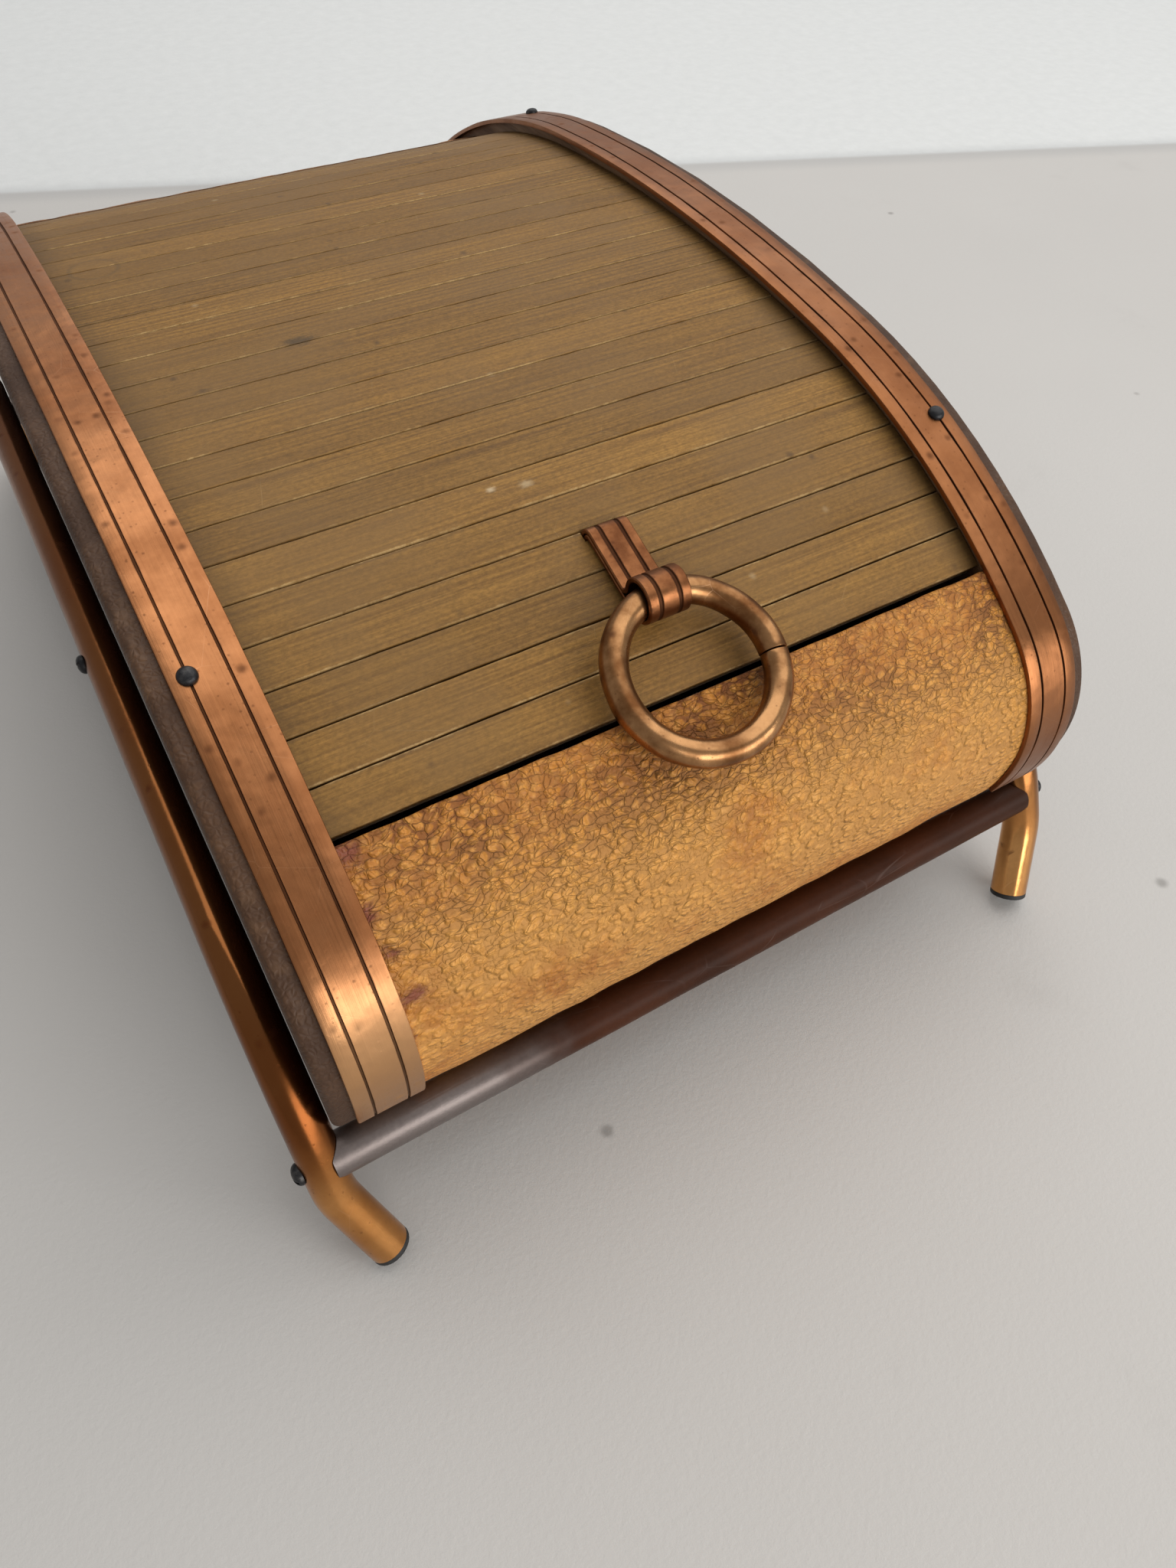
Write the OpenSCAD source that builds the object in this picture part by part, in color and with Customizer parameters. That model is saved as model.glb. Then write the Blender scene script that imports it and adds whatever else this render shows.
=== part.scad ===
// Tambour lid box: a pod-shaped box with a slatted lid that rolls back over its crown.
// It hangs between two bent copper tubes, which are also its feet.
// Millimetres, +Z up, front towards -Y. The origin is on the table under the middle of the box.

/* [Outline of the box, seen from the side] */
// Height of the crown above the table
crown_z = 108; // [104:1:114]
// Radius of the crown
crown_r = 442; // [400:2:500]
// Slope where the crown runs into the shoulders, in degrees
crown_a = 7; // [6:0.5:8]
// Radius of the shoulders
shoulder_r = 156; // [150:1:164]
// Slope where the shoulders run into the noses, in degrees
shoulder_a = 34.5; // [33:0.5:36]
// Radius of the upper half of each nose
nose_r = 30; // [28:0.5:32]
// Radius of the lower half of each nose
belly_r = 40; // [38:0.5:42]

/* [Sides] */
// Half of the width between the side panels
panel_in_x = 67; // [60:0.5:75]
// Thickness of each side panel
panel_t = 10; // [8:0.5:14]
// Thickness of the leather-covered board on each side panel
side_cover_t = 3.9; // [2:0.1:4.5]
// Thickness of the leather on the noses and the underside
leather_t = 1.6; // [1:0.1:2]
// Depth of the leather's outer face below the face of the copper edging
cover_depth = 1.1; // [1.1:0.1:1.6]

/* [Copper edging] */
// Width of each edging strip
edging_w = 12; // [10:0.5:14]
// Thickness of each edging strip
edging_t = 1; // [0.8:0.1:1]
// Slope at which the edging ends under the noses, in degrees
edging_end_a = 108; // [100:1:116]
// Distance of each engraved line from the strip's edge
line_inset = 3; // [2:0.5:4]
// Width of each engraved line
line_w = 0.5; // [0.3:0.1:0.8]
// Depth of each engraved line
line_depth = 0.35; // [0.2:0.05:0.5]
// Slope at which the domed nails sit, in degrees
nail_a = 17.8; // [15:0.2:21]
// Diameter of a nail's head
nail_head_d = 3.2; // [2.4:0.1:4]
// Height of a nail's head
nail_head_h = 1.2; // [0.8:0.1:1.5]
// Diameter of a nail's shank
nail_d = 1.2; // [1:0.1:1.6]
// Length of a nail's shank
nail_length = 9; // [6:0.5:12]

/* [Tambour] */
// Number of slats
slat_count = 28; // [27:1:28]
// Distance from one slat to the next, along their cloth backing
slat_pitch = 8.2; // [8:0.05:8.3]
// Gap between two slats at the face
slat_gap = 0.35; // [0.25:0.05:0.6]
// Thickness of a slat
slat_t = 3.5; // [3:0.1:3.6]
// Height over which a slat's flanks are relieved towards the cloth
relief_h = 2.2; // [1.5:0.1:2.4]
// Relief of each flank at the cloth
relief_w = 0.4; // [0.3:0.05:0.6]
// Depth of the slats' face below the face of the edging
slat_depth = 3.3; // [3.1:0.1:3.6]
// Gap between a slat's end and the side panel
slat_end_gap = 0.4; // [0.3:0.1:0.8]
// Distance along the cloth from the middle of the crown to the front of the closed lid
lid_front = 111; // [109:0.5:112]
// Slope at which the rear end of the tambour starts to dive into the box, in degrees
dive_a = 18; // [17:0.5:19]
// Radius on which it dives, at the cloth
dive_r = 46; // [44:1:48]

/* [Shell and inside] */
// Gap between the lead slat and the front panel's edge, as a slope in degrees
lip_gap_a = 0.5; // [0.4:0.1:1]
// Slope at which the rear panel starts, in degrees
rear_edge_a = 27; // [26:0.5:28]
// Thickness of the front panel
front_t = 4; // [3:0.5:5]
// Thickness of the rear panel
rear_t = 1.6; // [1.2:0.1:1.8]
// Thickness of the bottom board
bottom_t = 3; // [2.5:0.5:4]
// Thickness of the suede on the floor
lining_t = 1; // [0.6:0.1:2]
// Distance of the rear partition from the middle of the box
partition_y = 76; // [70:1:77]
// Thickness of the rear partition
partition_t = 3; // [2:0.5:3]
// Gap between the partition's top and the cloth of the slats above
partition_gap = 3.5; // [3:0.5:6]
// Width of the runner on each side panel
runner_w = 5; // [4:0.5:7]
// Thickness of each runner
runner_t = 3; // [2:0.5:4]
// Gap between the runners and the slats
runner_gap = 0.9; // [0.8:0.1:1.2]
// Slope at which the runners end at the rear, in degrees
runner_end_a = 6; // [4:0.5:7]

/* [Tube frame] */
// Radius of the copper tubes
tube_r = 4; // [3.5:0.1:4.5]
// Wall of the copper tubes
tube_wall = 1; // [0.8:0.1:1.4]
// Height of the tubes' straight rail above the table
rail_z = 49; // [46:1:54]
// Radius of the bend from the rail to the leg
bend_r = 46; // [42:1:56]
// Radius of the bend that turns the leg inwards
toe_r = 20; // [15:1:30]
// Angle that the leg is turned inwards, in degrees
toe_a = 16; // [10:1:20]
// Straight piece of the leg from the crossbar to the inward bend
toe_start = 5; // [4.8:0.1:6]
// Radius of the crossbars
bar_r = 4.1; // [3.6:0.1:4.4]
// Slope at which each crossbar lies under its nose, in degrees below the level
bar_a = 40; // [38:1:43]
// Gap between each crossbar and the nose above it
bar_gap = 0.8; // [0.5:0.1:3]
// Place of the screw that holds each rail to the side panel, in front of the middle
rail_screw_y = 16; // [10:1:24]
// Diameter of a screw's head
screw_head_d = 4.2; // [3.6:0.1:5]
// Height of a screw's head
screw_head_h = 1.5; // [1.2:0.1:2]
// Width of the slot in a screw's head
screw_slot_w = 0.7; // [0.5:0.1:1]
// Diameter of a screw's shank
screw_d = 2.2; // [1.8:0.1:2.6]
// Length of a screw's shank
screw_length = 18; // [16:0.5:20]
// Thickness of a foot plug's disc
plug_t = 1.2; // [0.8:0.1:2]
// Length of a foot plug's stem
plug_stem = 5; // [3:0.5:7]

/* [Pull] */
// Number of the slat that carries the strap, counted from the front
strap_slat = 4; // [3:1:5]
// Width of the strap
strap_w = 8.2; // [6:0.1:10]
// Thickness of the strap's copper
strap_t = 0.85; // [0.6:0.05:1]
// Gap between the strap and the slats under it
strap_lift = 0.6; // [0.6:0.1:1]
// Slit between the strap's two layers
strap_slit = 0.15; // [0.1:0.05:0.3]
// Distance from the middle of the slat to the middle of the strap's eye
eye_reach = 14.3; // [12:0.1:16]
// Radius of the ring's wire
wire_r = 2.5; // [2:0.1:2.7]
// Radius of the ring, at the middle of its wire
ring_r = 14.5; // [12:0.1:17]
// Slack between the ring's wire and the strap's eye
eye_slack = 0.8; // [0.7:0.05:1]
// Angle that the ring leans down from the slat's face, in degrees
ring_lean = 7.5; // [6:0.5:7.5]

/* [Hidden] */
$fn = 48;

seat = 0.1;                                   // clearance between pieces that touch on the real box
seam_length = 0.8;                            // length of the brazed seams in the tubes
seam_gap = 0.2;                               // gap that a seam bridges
cut = 1;                                      // overrun of cutting tools
panel_out_x = panel_in_x + panel_t;
edging_in_x = panel_out_x - edging_w;
slat_base = slat_depth + slat_t;              // depth of the cloth below the edging's face
slat_half_l = panel_in_x - slat_end_gap;
tube_x = panel_out_x + side_cover_t + tube_r + seat;

// Centres of the outline's arcs, rear half, as [y, z]. A slope of 0 is the crown, 90 the nose's tip
// and 180 the underside, and depth is measured square to the outline.
function along(centre, radius, slope) = [centre[0] + radius * sin(slope), centre[1] + radius * cos(slope)];
crown_c = [0, crown_z - crown_r];
shoulder_c = along(crown_c, crown_r - shoulder_r, crown_a);
nose_c = along(shoulder_c, shoulder_r - nose_r, shoulder_a);
belly_c = along(nose_c, nose_r - belly_r, 90);
function outline_point(slope, depth) =
    slope <= crown_a ? along(crown_c, crown_r - depth, slope)
    : slope <= shoulder_a ? along(shoulder_c, shoulder_r - depth, slope)
    : slope <= 90 ? along(nose_c, nose_r - depth, slope)
    : along(belly_c, belly_r - depth, slope);

// Slopes at which every curve of the box has its points, so that neighbours meet face to face
crown_steps = 6;
shoulder_steps = 14;
nose_steps = 16;
belly_steps = 20;
SLOPES = concat(
    [for (i = [0:crown_steps]) crown_a * i / crown_steps],
    [for (i = [1:shoulder_steps]) crown_a + (shoulder_a - crown_a) * i / shoulder_steps],
    [for (i = [1:nose_steps]) shoulder_a + (90 - shoulder_a) * i / nose_steps],
    [for (i = [1:belly_steps]) 90 + 90 * i / belly_steps]);
function span(from, to) =
    concat([from], [for (slope = SLOPES) if (slope > from + 0.01 && slope < to - 0.01) slope], [to]);
function curve(from, to, depth) = [for (slope = span(from, to)) outline_point(slope, depth)];
function backwards(points) = [for (i = [len(points) - 1:-1:0]) points[i]];
function mirrored(points) = [for (p = points) [-p[0], p[1]]];
function arch(end, depth) =
    let (half = curve(0, end, depth))
    concat(mirrored(backwards(half)), [for (i = [1:len(half) - 1]) half[i]]);

// Centre line of the tube frame, rear half
bar_reach = belly_r + bar_gap + bar_r;
bar_y = belly_c[0] + bar_reach * cos(bar_a);
bar_z = belly_c[1] - bar_reach * sin(bar_a);
leg_a = acos(1 - (rail_z - bar_z) / bend_r);
rail_half = round((bar_y - bend_r * sin(leg_a)) * 100) / 100;
leg_drop = sin(leg_a) * cos(toe_a);
leg_length = ((bar_z - tube_r * sqrt(1 - leg_drop * leg_drop)) / sin(leg_a)
    - toe_start - toe_r * sin(toe_a)) / cos(toe_a);

// Places of the slats: s runs along the cloth from the middle of the crown, forward below 0
function degrees(length, radius) = length / radius * 180 / PI;
crown_length = (crown_r - slat_base) * crown_a * PI / 180;
dive_s = crown_length + (shoulder_r - slat_base) * (dive_a - crown_a) * PI / 180;
dive_c = along(shoulder_c, shoulder_r - slat_base - dive_r, dive_a);
function slope_at(s) =
    abs(s) <= crown_length ? degrees(abs(s), crown_r - slat_base)
    : s < dive_s ? crown_a + degrees(abs(s) - crown_length, shoulder_r - slat_base)
    : dive_a + degrees(s - dive_s, dive_r);
function place_at(s) =
    s < dive_s ? outline_point(slope_at(s), slat_base) : along(dive_c, dive_r, slope_at(s));
function slat_s(number) = -lid_front + slat_pitch * (number - 0.5);
lip_a = slope_at(-lid_front) + lip_gap_a;     // slope at the front panel's upper edge

// Strap and ring, in the frame of the slat that carries them
lower_z = slat_t + strap_lift;
upper_z = lower_z + strap_t + strap_slit;
eye_r = wire_r + eye_slack;
eye_z = lower_z + strap_t + eye_r;
tongue_y = slat_pitch / 2 - slat_gap / 2 - 2 * strap_t - strap_slit;

// ---- Helpers ----

// Extrudes a shape drawn in [y, z] across the box, from one x to another
module across(from, to) {
    translate([from, 0, 0])
        rotate([90, 0, 90])
            linear_extrude(to - from)
                children();
}

// Moves to a point of the outline, with +Z pointing out of the box
module on_outline(slope, depth) {
    p = outline_point(slope, depth);
    translate([0, p[0], p[1]])
        rotate([-slope, 0, 0])
            children();
}

module both_ends() {
    children();
    mirror([0, 1, 0]) children();
}

module left_hand() {
    mirror([1, 0, 0]) children();
}

// Curved sheet between two depths, on the rear nose
module sheet(from, to, top, bottom) {
    polygon(concat(curve(from, to, top), backwards(curve(from, to, bottom))));
}

module edging_band(top, bottom) {
    polygon(concat(arch(edging_end_a, top), backwards(arch(edging_end_a, bottom))));
}

// Moves into the frame of a slat: +Y runs along the tambour to the rear, +Z is its face
module slat_frame(number) {
    s = slat_s(number);
    p = place_at(s);
    side = s < 0 ? -1 : 1;
    translate([0, side * p[0], p[1]])
        rotate([-side * slope_at(s), 0, 0])
            children();
}

// Low dome on a flat disc, standing on z = 0
module dome(d, h) {
    edge = h * 0.3;
    rise = h - edge;
    r = (d * d / 4 + rise * rise) / (2 * rise);
    rotate_extrude() {
        square([d / 2, edge]);
        intersection() {
            translate([0, h - r]) circle(r);
            translate([0, edge]) square([d / 2, rise]);
        }
    }
}

// ---- Tambour ----

module slat(number) {
    half = (slat_pitch - slat_gap) / 2;
    bevel = 0.3;
    color("darkkhaki")
        slat_frame(number)
            difference() {
                across(-slat_half_l, slat_half_l)
                    polygon([
                        [relief_w - half, 0], [half - relief_w, 0], [half, relief_h], [half, slat_t - bevel],
                        [half - bevel, slat_t], [bevel - half, slat_t], [-half, slat_t - bevel],
                        [-half, relief_h]]);
                if (number == strap_slat)
                    translate([-strap_w / 2 - seat, tongue_y - seat, 1])
                        cube([strap_w + 2 * seat, half, slat_t]);
            }
}

module pull_strap() {
    tongue_end = slat_pitch / 2 - slat_gap / 2;
    color("peru")
        slat_frame(strap_slat)
            across(-strap_w / 2, strap_w / 2) {
                translate([-eye_reach, lower_z])
                    square([eye_reach + tongue_end, strap_t]);
                translate([-eye_reach + eye_r, upper_z])
                    square([eye_reach - eye_r + tongue_end, strap_t]);
                translate([tongue_y, 1 + seat])
                    square([tongue_end - tongue_y, upper_z + strap_t - 1 - seat]);
                translate([-eye_reach, eye_z])
                    difference() {
                        circle(eye_r + strap_t);
                        circle(eye_r);
                    }
            }
}

module pull_ring() {
    color("chocolate")
        slat_frame(strap_slat)
            translate([0, -eye_reach, eye_z])
                rotate([ring_lean, 0, 0])
                    translate([0, -ring_r, 0])
                        rotate_extrude()
                            translate([ring_r, 0])
                                circle(wire_r);
}

// ---- Box ----

module nail_places() {
    both_ends()
        on_outline(nail_a, 0)
            translate([panel_out_x - line_inset, 0, 0])
                children();
}

module nail_hole() {
    translate([0, 0, -nail_length - cut])
        cylinder(d = nail_d + 2 * seat, h = nail_length + 2 * cut);
}

module side_panel() {
    color("saddlebrown")
        difference() {
            across(panel_in_x, panel_out_x)
                polygon(arch(180, edging_t));
            nail_places() nail_hole();
            translate([0, -rail_screw_y, rail_z]) frame_screw_hole();
        }
}

module side_leather() {
    color("dimgray")
        difference() {
            across(panel_out_x, panel_out_x + side_cover_t)
                polygon(arch(180, cover_depth));
            translate([0, -rail_screw_y, rail_z]) frame_screw_hole();
        }
}

module edging() {
    color("sandybrown")
        difference() {
            across(edging_in_x, panel_out_x) edging_band(0, edging_t);
            for (x = [edging_in_x + line_inset, panel_out_x - line_inset])
                across(x - line_w / 2, x + line_w / 2) edging_band(-cut, line_depth);
            nail_places() nail_hole();
        }
}

module edging_nails() {
    color("dimgray")
        nail_places() {
            translate([0, 0, seat / 2]) dome(nail_head_d, nail_head_h);
            translate([0, 0, -nail_length]) cylinder(d = nail_d, h = nail_length + seat);
        }
}

module front_panel() {
    color("saddlebrown")
        mirror([0, 1, 0])
            across(-panel_in_x, panel_in_x)
                sheet(lip_a, 180, cover_depth + leather_t, cover_depth + leather_t + front_t);
}

module front_leather() {
    color("goldenrod")
        mirror([0, 1, 0])
            across(-panel_in_x, panel_in_x)
                sheet(lip_a, 180, cover_depth, cover_depth + leather_t);
}

module rear_panel() {
    color("saddlebrown")
        across(-panel_in_x, panel_in_x)
            sheet(rear_edge_a, 180, cover_depth + leather_t, cover_depth + leather_t + rear_t);
}

module rear_leather() {
    color("goldenrod")
        across(-panel_in_x, panel_in_x)
            sheet(rear_edge_a, 180, cover_depth, cover_depth + leather_t);
}

bottom_z = belly_c[1] - belly_r + cover_depth;
floor_z = bottom_z + leather_t + bottom_t;

module flat_board(from_y, to_y, from_z, t) {
    translate([-panel_in_x, from_y, from_z])
        cube([2 * panel_in_x, to_y - from_y, t]);
}

module bottom_board() {
    color("saddlebrown") flat_board(-belly_c[0], belly_c[0], bottom_z + leather_t, bottom_t);
}

module bottom_leather() {
    color("goldenrod") flat_board(-belly_c[0], belly_c[0], bottom_z, leather_t);
}

module floor_lining() {
    color("maroon")
        translate([-panel_in_x + seat, -belly_c[0], floor_z])
            cube([2 * (panel_in_x - seat), belly_c[0] + partition_y - seat, lining_t]);
}

// Cloth height above a point y of the shoulder
function cloth_z(y) =
    let (r = shoulder_r - slat_base, dy = y - shoulder_c[0])
    shoulder_c[1] + sqrt(r * r - dy * dy);

module rear_partition() {
    top = cloth_z(partition_y + partition_t) - partition_gap;
    color("sienna") flat_board(partition_y, partition_y + partition_t, floor_z, top - floor_z);
}

module runner() {
    depth = slat_base + runner_gap;
    front = [for (p = curve(0, lip_a - 1, depth)) [-p[0], p[1]]];
    front_low = [for (p = curve(0, lip_a - 1, depth + runner_t)) [-p[0], p[1]]];
    rear = curve(0.5, runner_end_a, depth);
    rear_low = curve(0.5, runner_end_a, depth + runner_t);
    color("burlywood")
        across(panel_in_x - runner_w, panel_in_x)
            polygon(concat(backwards(front), rear, backwards(rear_low), front_low));
}

// ---- Tube frame ----

module tube_section() {
    difference() {
        circle(tube_r);
        circle(tube_r - tube_wall);
    }
}

// Moves to the centre of the rear bend of the right tube, with +Z across the rail's end
module bend_frame() {
    translate([tube_x, rail_half, rail_z - bend_r])
        children();
}

// Moves to the rear crossbar's end at the right tube, with +Z running down the leg
module leg_frame() {
    bend_frame()
        rotate([-leg_a, 0, 0])
            translate([0, 0, bend_r])
                rotate([-90, 0, 0])
                    children();
}

// Moves to the start of the straight leg below the inward bend
module toe_frame() {
    leg_frame()
        translate([toe_r * (cos(toe_a) - 1), 0, toe_start + toe_r * sin(toe_a)])
            rotate([0, -toe_a, 0])
                children();
}

module frame_screw_hole() {
    translate([panel_out_x - screw_length, 0, 0])
        rotate([0, 90, 0])
            cylinder(d = screw_d + 2 * seat, h = screw_length + 4 * tube_r);
}

// A ridge round the tube where a bent length is brazed to a straight one
module seam_ring() {
    ridge = 0.05;
    translate([0, 0, -seam_length / 2])
        linear_extrude(seam_length)
            difference() {
                circle(tube_r + ridge);
                circle(tube_r - tube_wall - ridge);
            }
}

// Straight length of tube from a seam to another seam, or to an open end
module straight_tube(length, end_gap = 0) {
    translate([0, 0, seam_gap])
        linear_extrude(length - seam_gap - end_gap) tube_section();
    seam_ring();
}

module tube_half() {
    bend_frame()
        rotate([0, -90, 0])
            rotate_extrude(angle = leg_a)
                translate([bend_r, 0]) tube_section();
    leg_frame() straight_tube(toe_start, seam_gap);
    leg_frame()
        translate([-toe_r, 0, toe_start])
            rotate([90, 0, 0])
                rotate_extrude(angle = toe_a)
                    translate([toe_r, 0]) tube_section();
    leg_frame()
        translate([0, 0, toe_start]) seam_ring();
    toe_frame() straight_tube(leg_length - plug_t);
}

module tube_frame() {
    color("peru")
        difference() {
            union() {
                translate([tube_x, rail_half, rail_z])
                    rotate([90, 0, 0])
                        straight_tube(2 * rail_half, seam_gap);
                translate([tube_x, -rail_half, rail_z])
                    rotate([90, 0, 0]) seam_ring();
                both_ends() tube_half();
            }
            translate([0, -rail_screw_y, rail_z]) frame_screw_hole();
            both_ends() translate([0, bar_y, bar_z]) frame_screw_hole();
        }
}

// A bar across the box, cut to sit against both tubes
module crossbar() {
    saddle_gap = 0.25;
    length = tube_x - tube_r / 2;
    color("rosybrown")
        difference() {
            translate([-length, bar_y, bar_z])
                rotate([0, 90, 0])
                    cylinder(r = bar_r, h = 2 * length);
            for (side = [0, 1])
                mirror([side, 0, 0]) {
                    leg_frame()
                        translate([0, 0, -3 * bar_r])
                            cylinder(r = tube_r + saddle_gap, h = 6 * bar_r);
                    translate([0, bar_y, bar_z]) frame_screw_hole();
                }
        }
}

// Slotted screw whose head bears on the outside of the tube
module frame_screw(slot_turn) {
    translate([tube_x + tube_r + seat / 2, 0, 0])
        rotate([0, 90, 0]) {
            difference() {
                dome(screw_head_d, screw_head_h);
                rotate([0, 0, slot_turn])
                    translate([-screw_head_d, -screw_slot_w / 2, screw_head_h * 0.45])
                        cube([2 * screw_head_d, screw_slot_w, screw_head_h]);
            }
            translate([0, 0, -screw_length])
                cylinder(d = screw_d, h = screw_length + seat);
        }
}

module frame_screws() {
    color("black") {
        translate([0, -rail_screw_y, rail_z]) frame_screw(30);
        translate([0, -bar_y, bar_z]) frame_screw(75);
        translate([0, bar_y, bar_z]) frame_screw(10);
    }
}

module foot_plugs() {
    color("black")
        for (side = [0, 1])
            mirror([side, 0, 0])
                both_ends()
                    toe_frame() {
                        translate([0, 0, leg_length - plug_t])
                            cylinder(r = tube_r, h = plug_t);
                        translate([0, 0, leg_length - plug_t - plug_stem])
                            cylinder(r = tube_r - tube_wall - seat, h = plug_stem);
                    }
}

// ---- Assembly ----

function two_digits(number) = number < 10 ? str("0", number) : str(number);
for (number = [1:slat_count])
    slat(number);
pull_strap();
pull_ring();
left_hand() side_panel();  // side_panel_left
side_panel();  // side_panel_right
left_hand() side_leather();  // side_leather_left
side_leather();  // side_leather_right
left_hand() edging();  // edging_left
edging();  // edging_right
left_hand() edging_nails();  // edging_nails_left
edging_nails();  // edging_nails_right
front_panel();
front_leather();
rear_panel();
rear_leather();
bottom_board();
bottom_leather();
floor_lining();
rear_partition();
left_hand() runner();  // runner_left
runner();  // runner_right
left_hand() tube_frame();  // tube_frame_left
tube_frame();  // tube_frame_right
mirror([0, 1, 0]) crossbar();  // crossbar_front
crossbar();  // crossbar_rear
left_hand() frame_screws();  // frame_screws_left
frame_screws();  // frame_screws_right
foot_plugs();
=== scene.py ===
# %% [markdown]
# # A tambour lid box
# A low keepsake box shaped like a pod. Its lid is a row of thin wooden slats that roll back under a hood, its rims
# are edged with copper, its noses are covered in grained leather, and it hangs between two bent copper tubes.
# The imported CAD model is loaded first. It fixes every size and place, so each Blender piece is built from it.

import math

import bmesh
import bpy
import numpy as np
from mathutils import Matrix, Vector, noise


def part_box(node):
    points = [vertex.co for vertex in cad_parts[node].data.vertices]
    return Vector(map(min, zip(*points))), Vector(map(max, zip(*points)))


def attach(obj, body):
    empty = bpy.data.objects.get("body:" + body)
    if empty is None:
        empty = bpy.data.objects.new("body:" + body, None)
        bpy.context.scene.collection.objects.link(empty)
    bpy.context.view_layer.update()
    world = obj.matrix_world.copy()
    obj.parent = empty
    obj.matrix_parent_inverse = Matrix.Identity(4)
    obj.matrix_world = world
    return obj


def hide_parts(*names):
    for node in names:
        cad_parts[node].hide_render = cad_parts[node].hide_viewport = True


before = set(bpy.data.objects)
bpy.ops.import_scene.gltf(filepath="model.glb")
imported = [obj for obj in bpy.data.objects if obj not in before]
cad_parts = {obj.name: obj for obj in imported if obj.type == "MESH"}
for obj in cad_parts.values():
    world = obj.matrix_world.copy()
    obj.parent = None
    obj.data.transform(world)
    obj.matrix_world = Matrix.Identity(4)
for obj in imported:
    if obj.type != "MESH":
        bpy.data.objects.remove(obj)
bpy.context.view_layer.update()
MM = 0.001

# %% [markdown]
# ## Camera
# The photo was taken from the box's front left, from above, with a wide lens held close. The camera's place, its
# azimuth and elevation, and a roll of three degrees were worked out from the box's straight edges and curved rims.

# %% Camera
CAMERA_PLACE = Vector((-81.0, -204.7, 213.1)) * MM
CAMERA_AZIMUTH, CAMERA_ELEVATION, CAMERA_ROLL = -32.78, 51.84, 2.97
PHOTO_HEIGHT = 2048
FOCAL_LENGTH_IN_PIXELS = 1371.7


def turned_view(azimuth, elevation, roll):
    """Axes of a camera as the columns of a matrix: its right, its up and the way back from what it sees."""
    a, e, r = (math.radians(angle) for angle in (azimuth, elevation, roll))
    back = Vector((math.sin(a) * math.cos(e), -math.cos(a) * math.cos(e), math.sin(e)))
    level = Vector((math.cos(a), math.sin(a), 0))
    right = level * math.cos(r) + back.cross(level) * math.sin(r)
    return Matrix((right, back.cross(right), back)).transposed().to_4x4()


camera_data = bpy.data.cameras.new("photo_camera")
camera_data.sensor_width = 36
camera_data.lens = FOCAL_LENGTH_IN_PIXELS / PHOTO_HEIGHT * camera_data.sensor_width
camera_data.clip_start = 0.01
camera = bpy.data.objects.new("photo_camera", camera_data)
turned = turned_view(CAMERA_AZIMUTH, CAMERA_ELEVATION, CAMERA_ROLL)
camera.matrix_world = Matrix.Translation(CAMERA_PLACE) @ turned
bpy.context.scene.collection.objects.link(camera)
bpy.context.scene.camera = camera
print("lens", round(camera_data.lens, 2), "mm")

# %% [markdown]
# ## Node helpers
# Every finish below is a node tree. A `Signal` stands for one output of a tree, and arithmetic with signals makes
# math nodes, so that a mask or a height reads like a formula. The other helpers wrap the nodes that most finishes use.


# %% Node helpers
class Signal:
    """One output of a node tree."""

    def __init__(self, socket):
        self.socket, self.tree = socket, socket.id_data

    def __add__(self, other):
        return calc("ADD", self, other)

    def __sub__(self, other):
        return calc("SUBTRACT", self, other)

    def __rsub__(self, other):
        return calc("SUBTRACT", other, self)

    def __mul__(self, other):
        return calc("MULTIPLY", self, other)

    def __abs__(self):
        return calc("ABSOLUTE", self)


def feed(socket, value):
    """Joins a signal to a socket, or sets the socket's plain value."""
    if isinstance(value, Signal):
        value.tree.links.new(value.socket, socket)
    else:
        socket.default_value = value


def add(tree, kind, inputs=None, **options):
    """Makes a node, and returns its outputs by their identifiers."""
    made = tree.nodes.new(kind)
    for name, value in options.items():
        setattr(made, name, value)
    for name, value in (inputs or {}).items():
        feed(made.inputs[name], value)
    return {output.identifier: Signal(output) for output in made.outputs}


def tree_of(*values):
    return next(value.tree for value in values if isinstance(value, Signal))


def calc(operation, a, b=0.0):
    return add(tree_of(a, b), "ShaderNodeMath", {0: a, 1: b}, operation=operation)["Value"]


def vector_calc(operation, output, a, b=(0.0, 0.0, 0.0), scale=1.0):
    inputs = {0: a, 1: b, 3: scale}
    return add(a.tree, "ShaderNodeVectorMath", inputs, operation=operation)[output]


def remap(value, low, high, to_low=0.0, to_high=1.0):
    """Stretches low..high to to_low..to_high, with soft ends."""
    inputs = {"Value": value, "From Min": low, "From Max": high, "To Min": to_low, "To Max": to_high}
    return add(value.tree, "ShaderNodeMapRange", inputs, interpolation_type="SMOOTHSTEP")["Result"]


FACTOR, COLOUR_A, COLOUR_B = 0, 6, 7


def mix(factor, a, b, how="MIX"):
    """Blends two colours, each one three numbers or a signal."""
    tree = tree_of(factor, a, b)
    a, b = ((*c, 1.0) if isinstance(c, tuple) else c for c in (a, b))
    inputs = {FACTOR: factor, COLOUR_A: a, COLOUR_B: b}
    return add(tree, "ShaderNodeMix", inputs, data_type="RGBA", blend_type=how)["Result_Color"]


def tint(colour, *layers):
    """Lays shades over a colour. Each layer is a mask, its strength and its shade."""
    for mask, strength, shade in layers:
        colour = mix(mask * strength, colour, shade)
    return colour


def shaded(colour, share, mask, darkest, brightest):
    """Multiplies a colour by a grey that follows a mask."""
    return mix(share, colour, mix(mask, darkest, brightest), "MULTIPLY")


def stretched(vector, x, y, z=1.0):
    return add(vector.tree, "ShaderNodeMapping", {"Vector": vector, "Scale": (x, y, z)})["Vector"]


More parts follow.
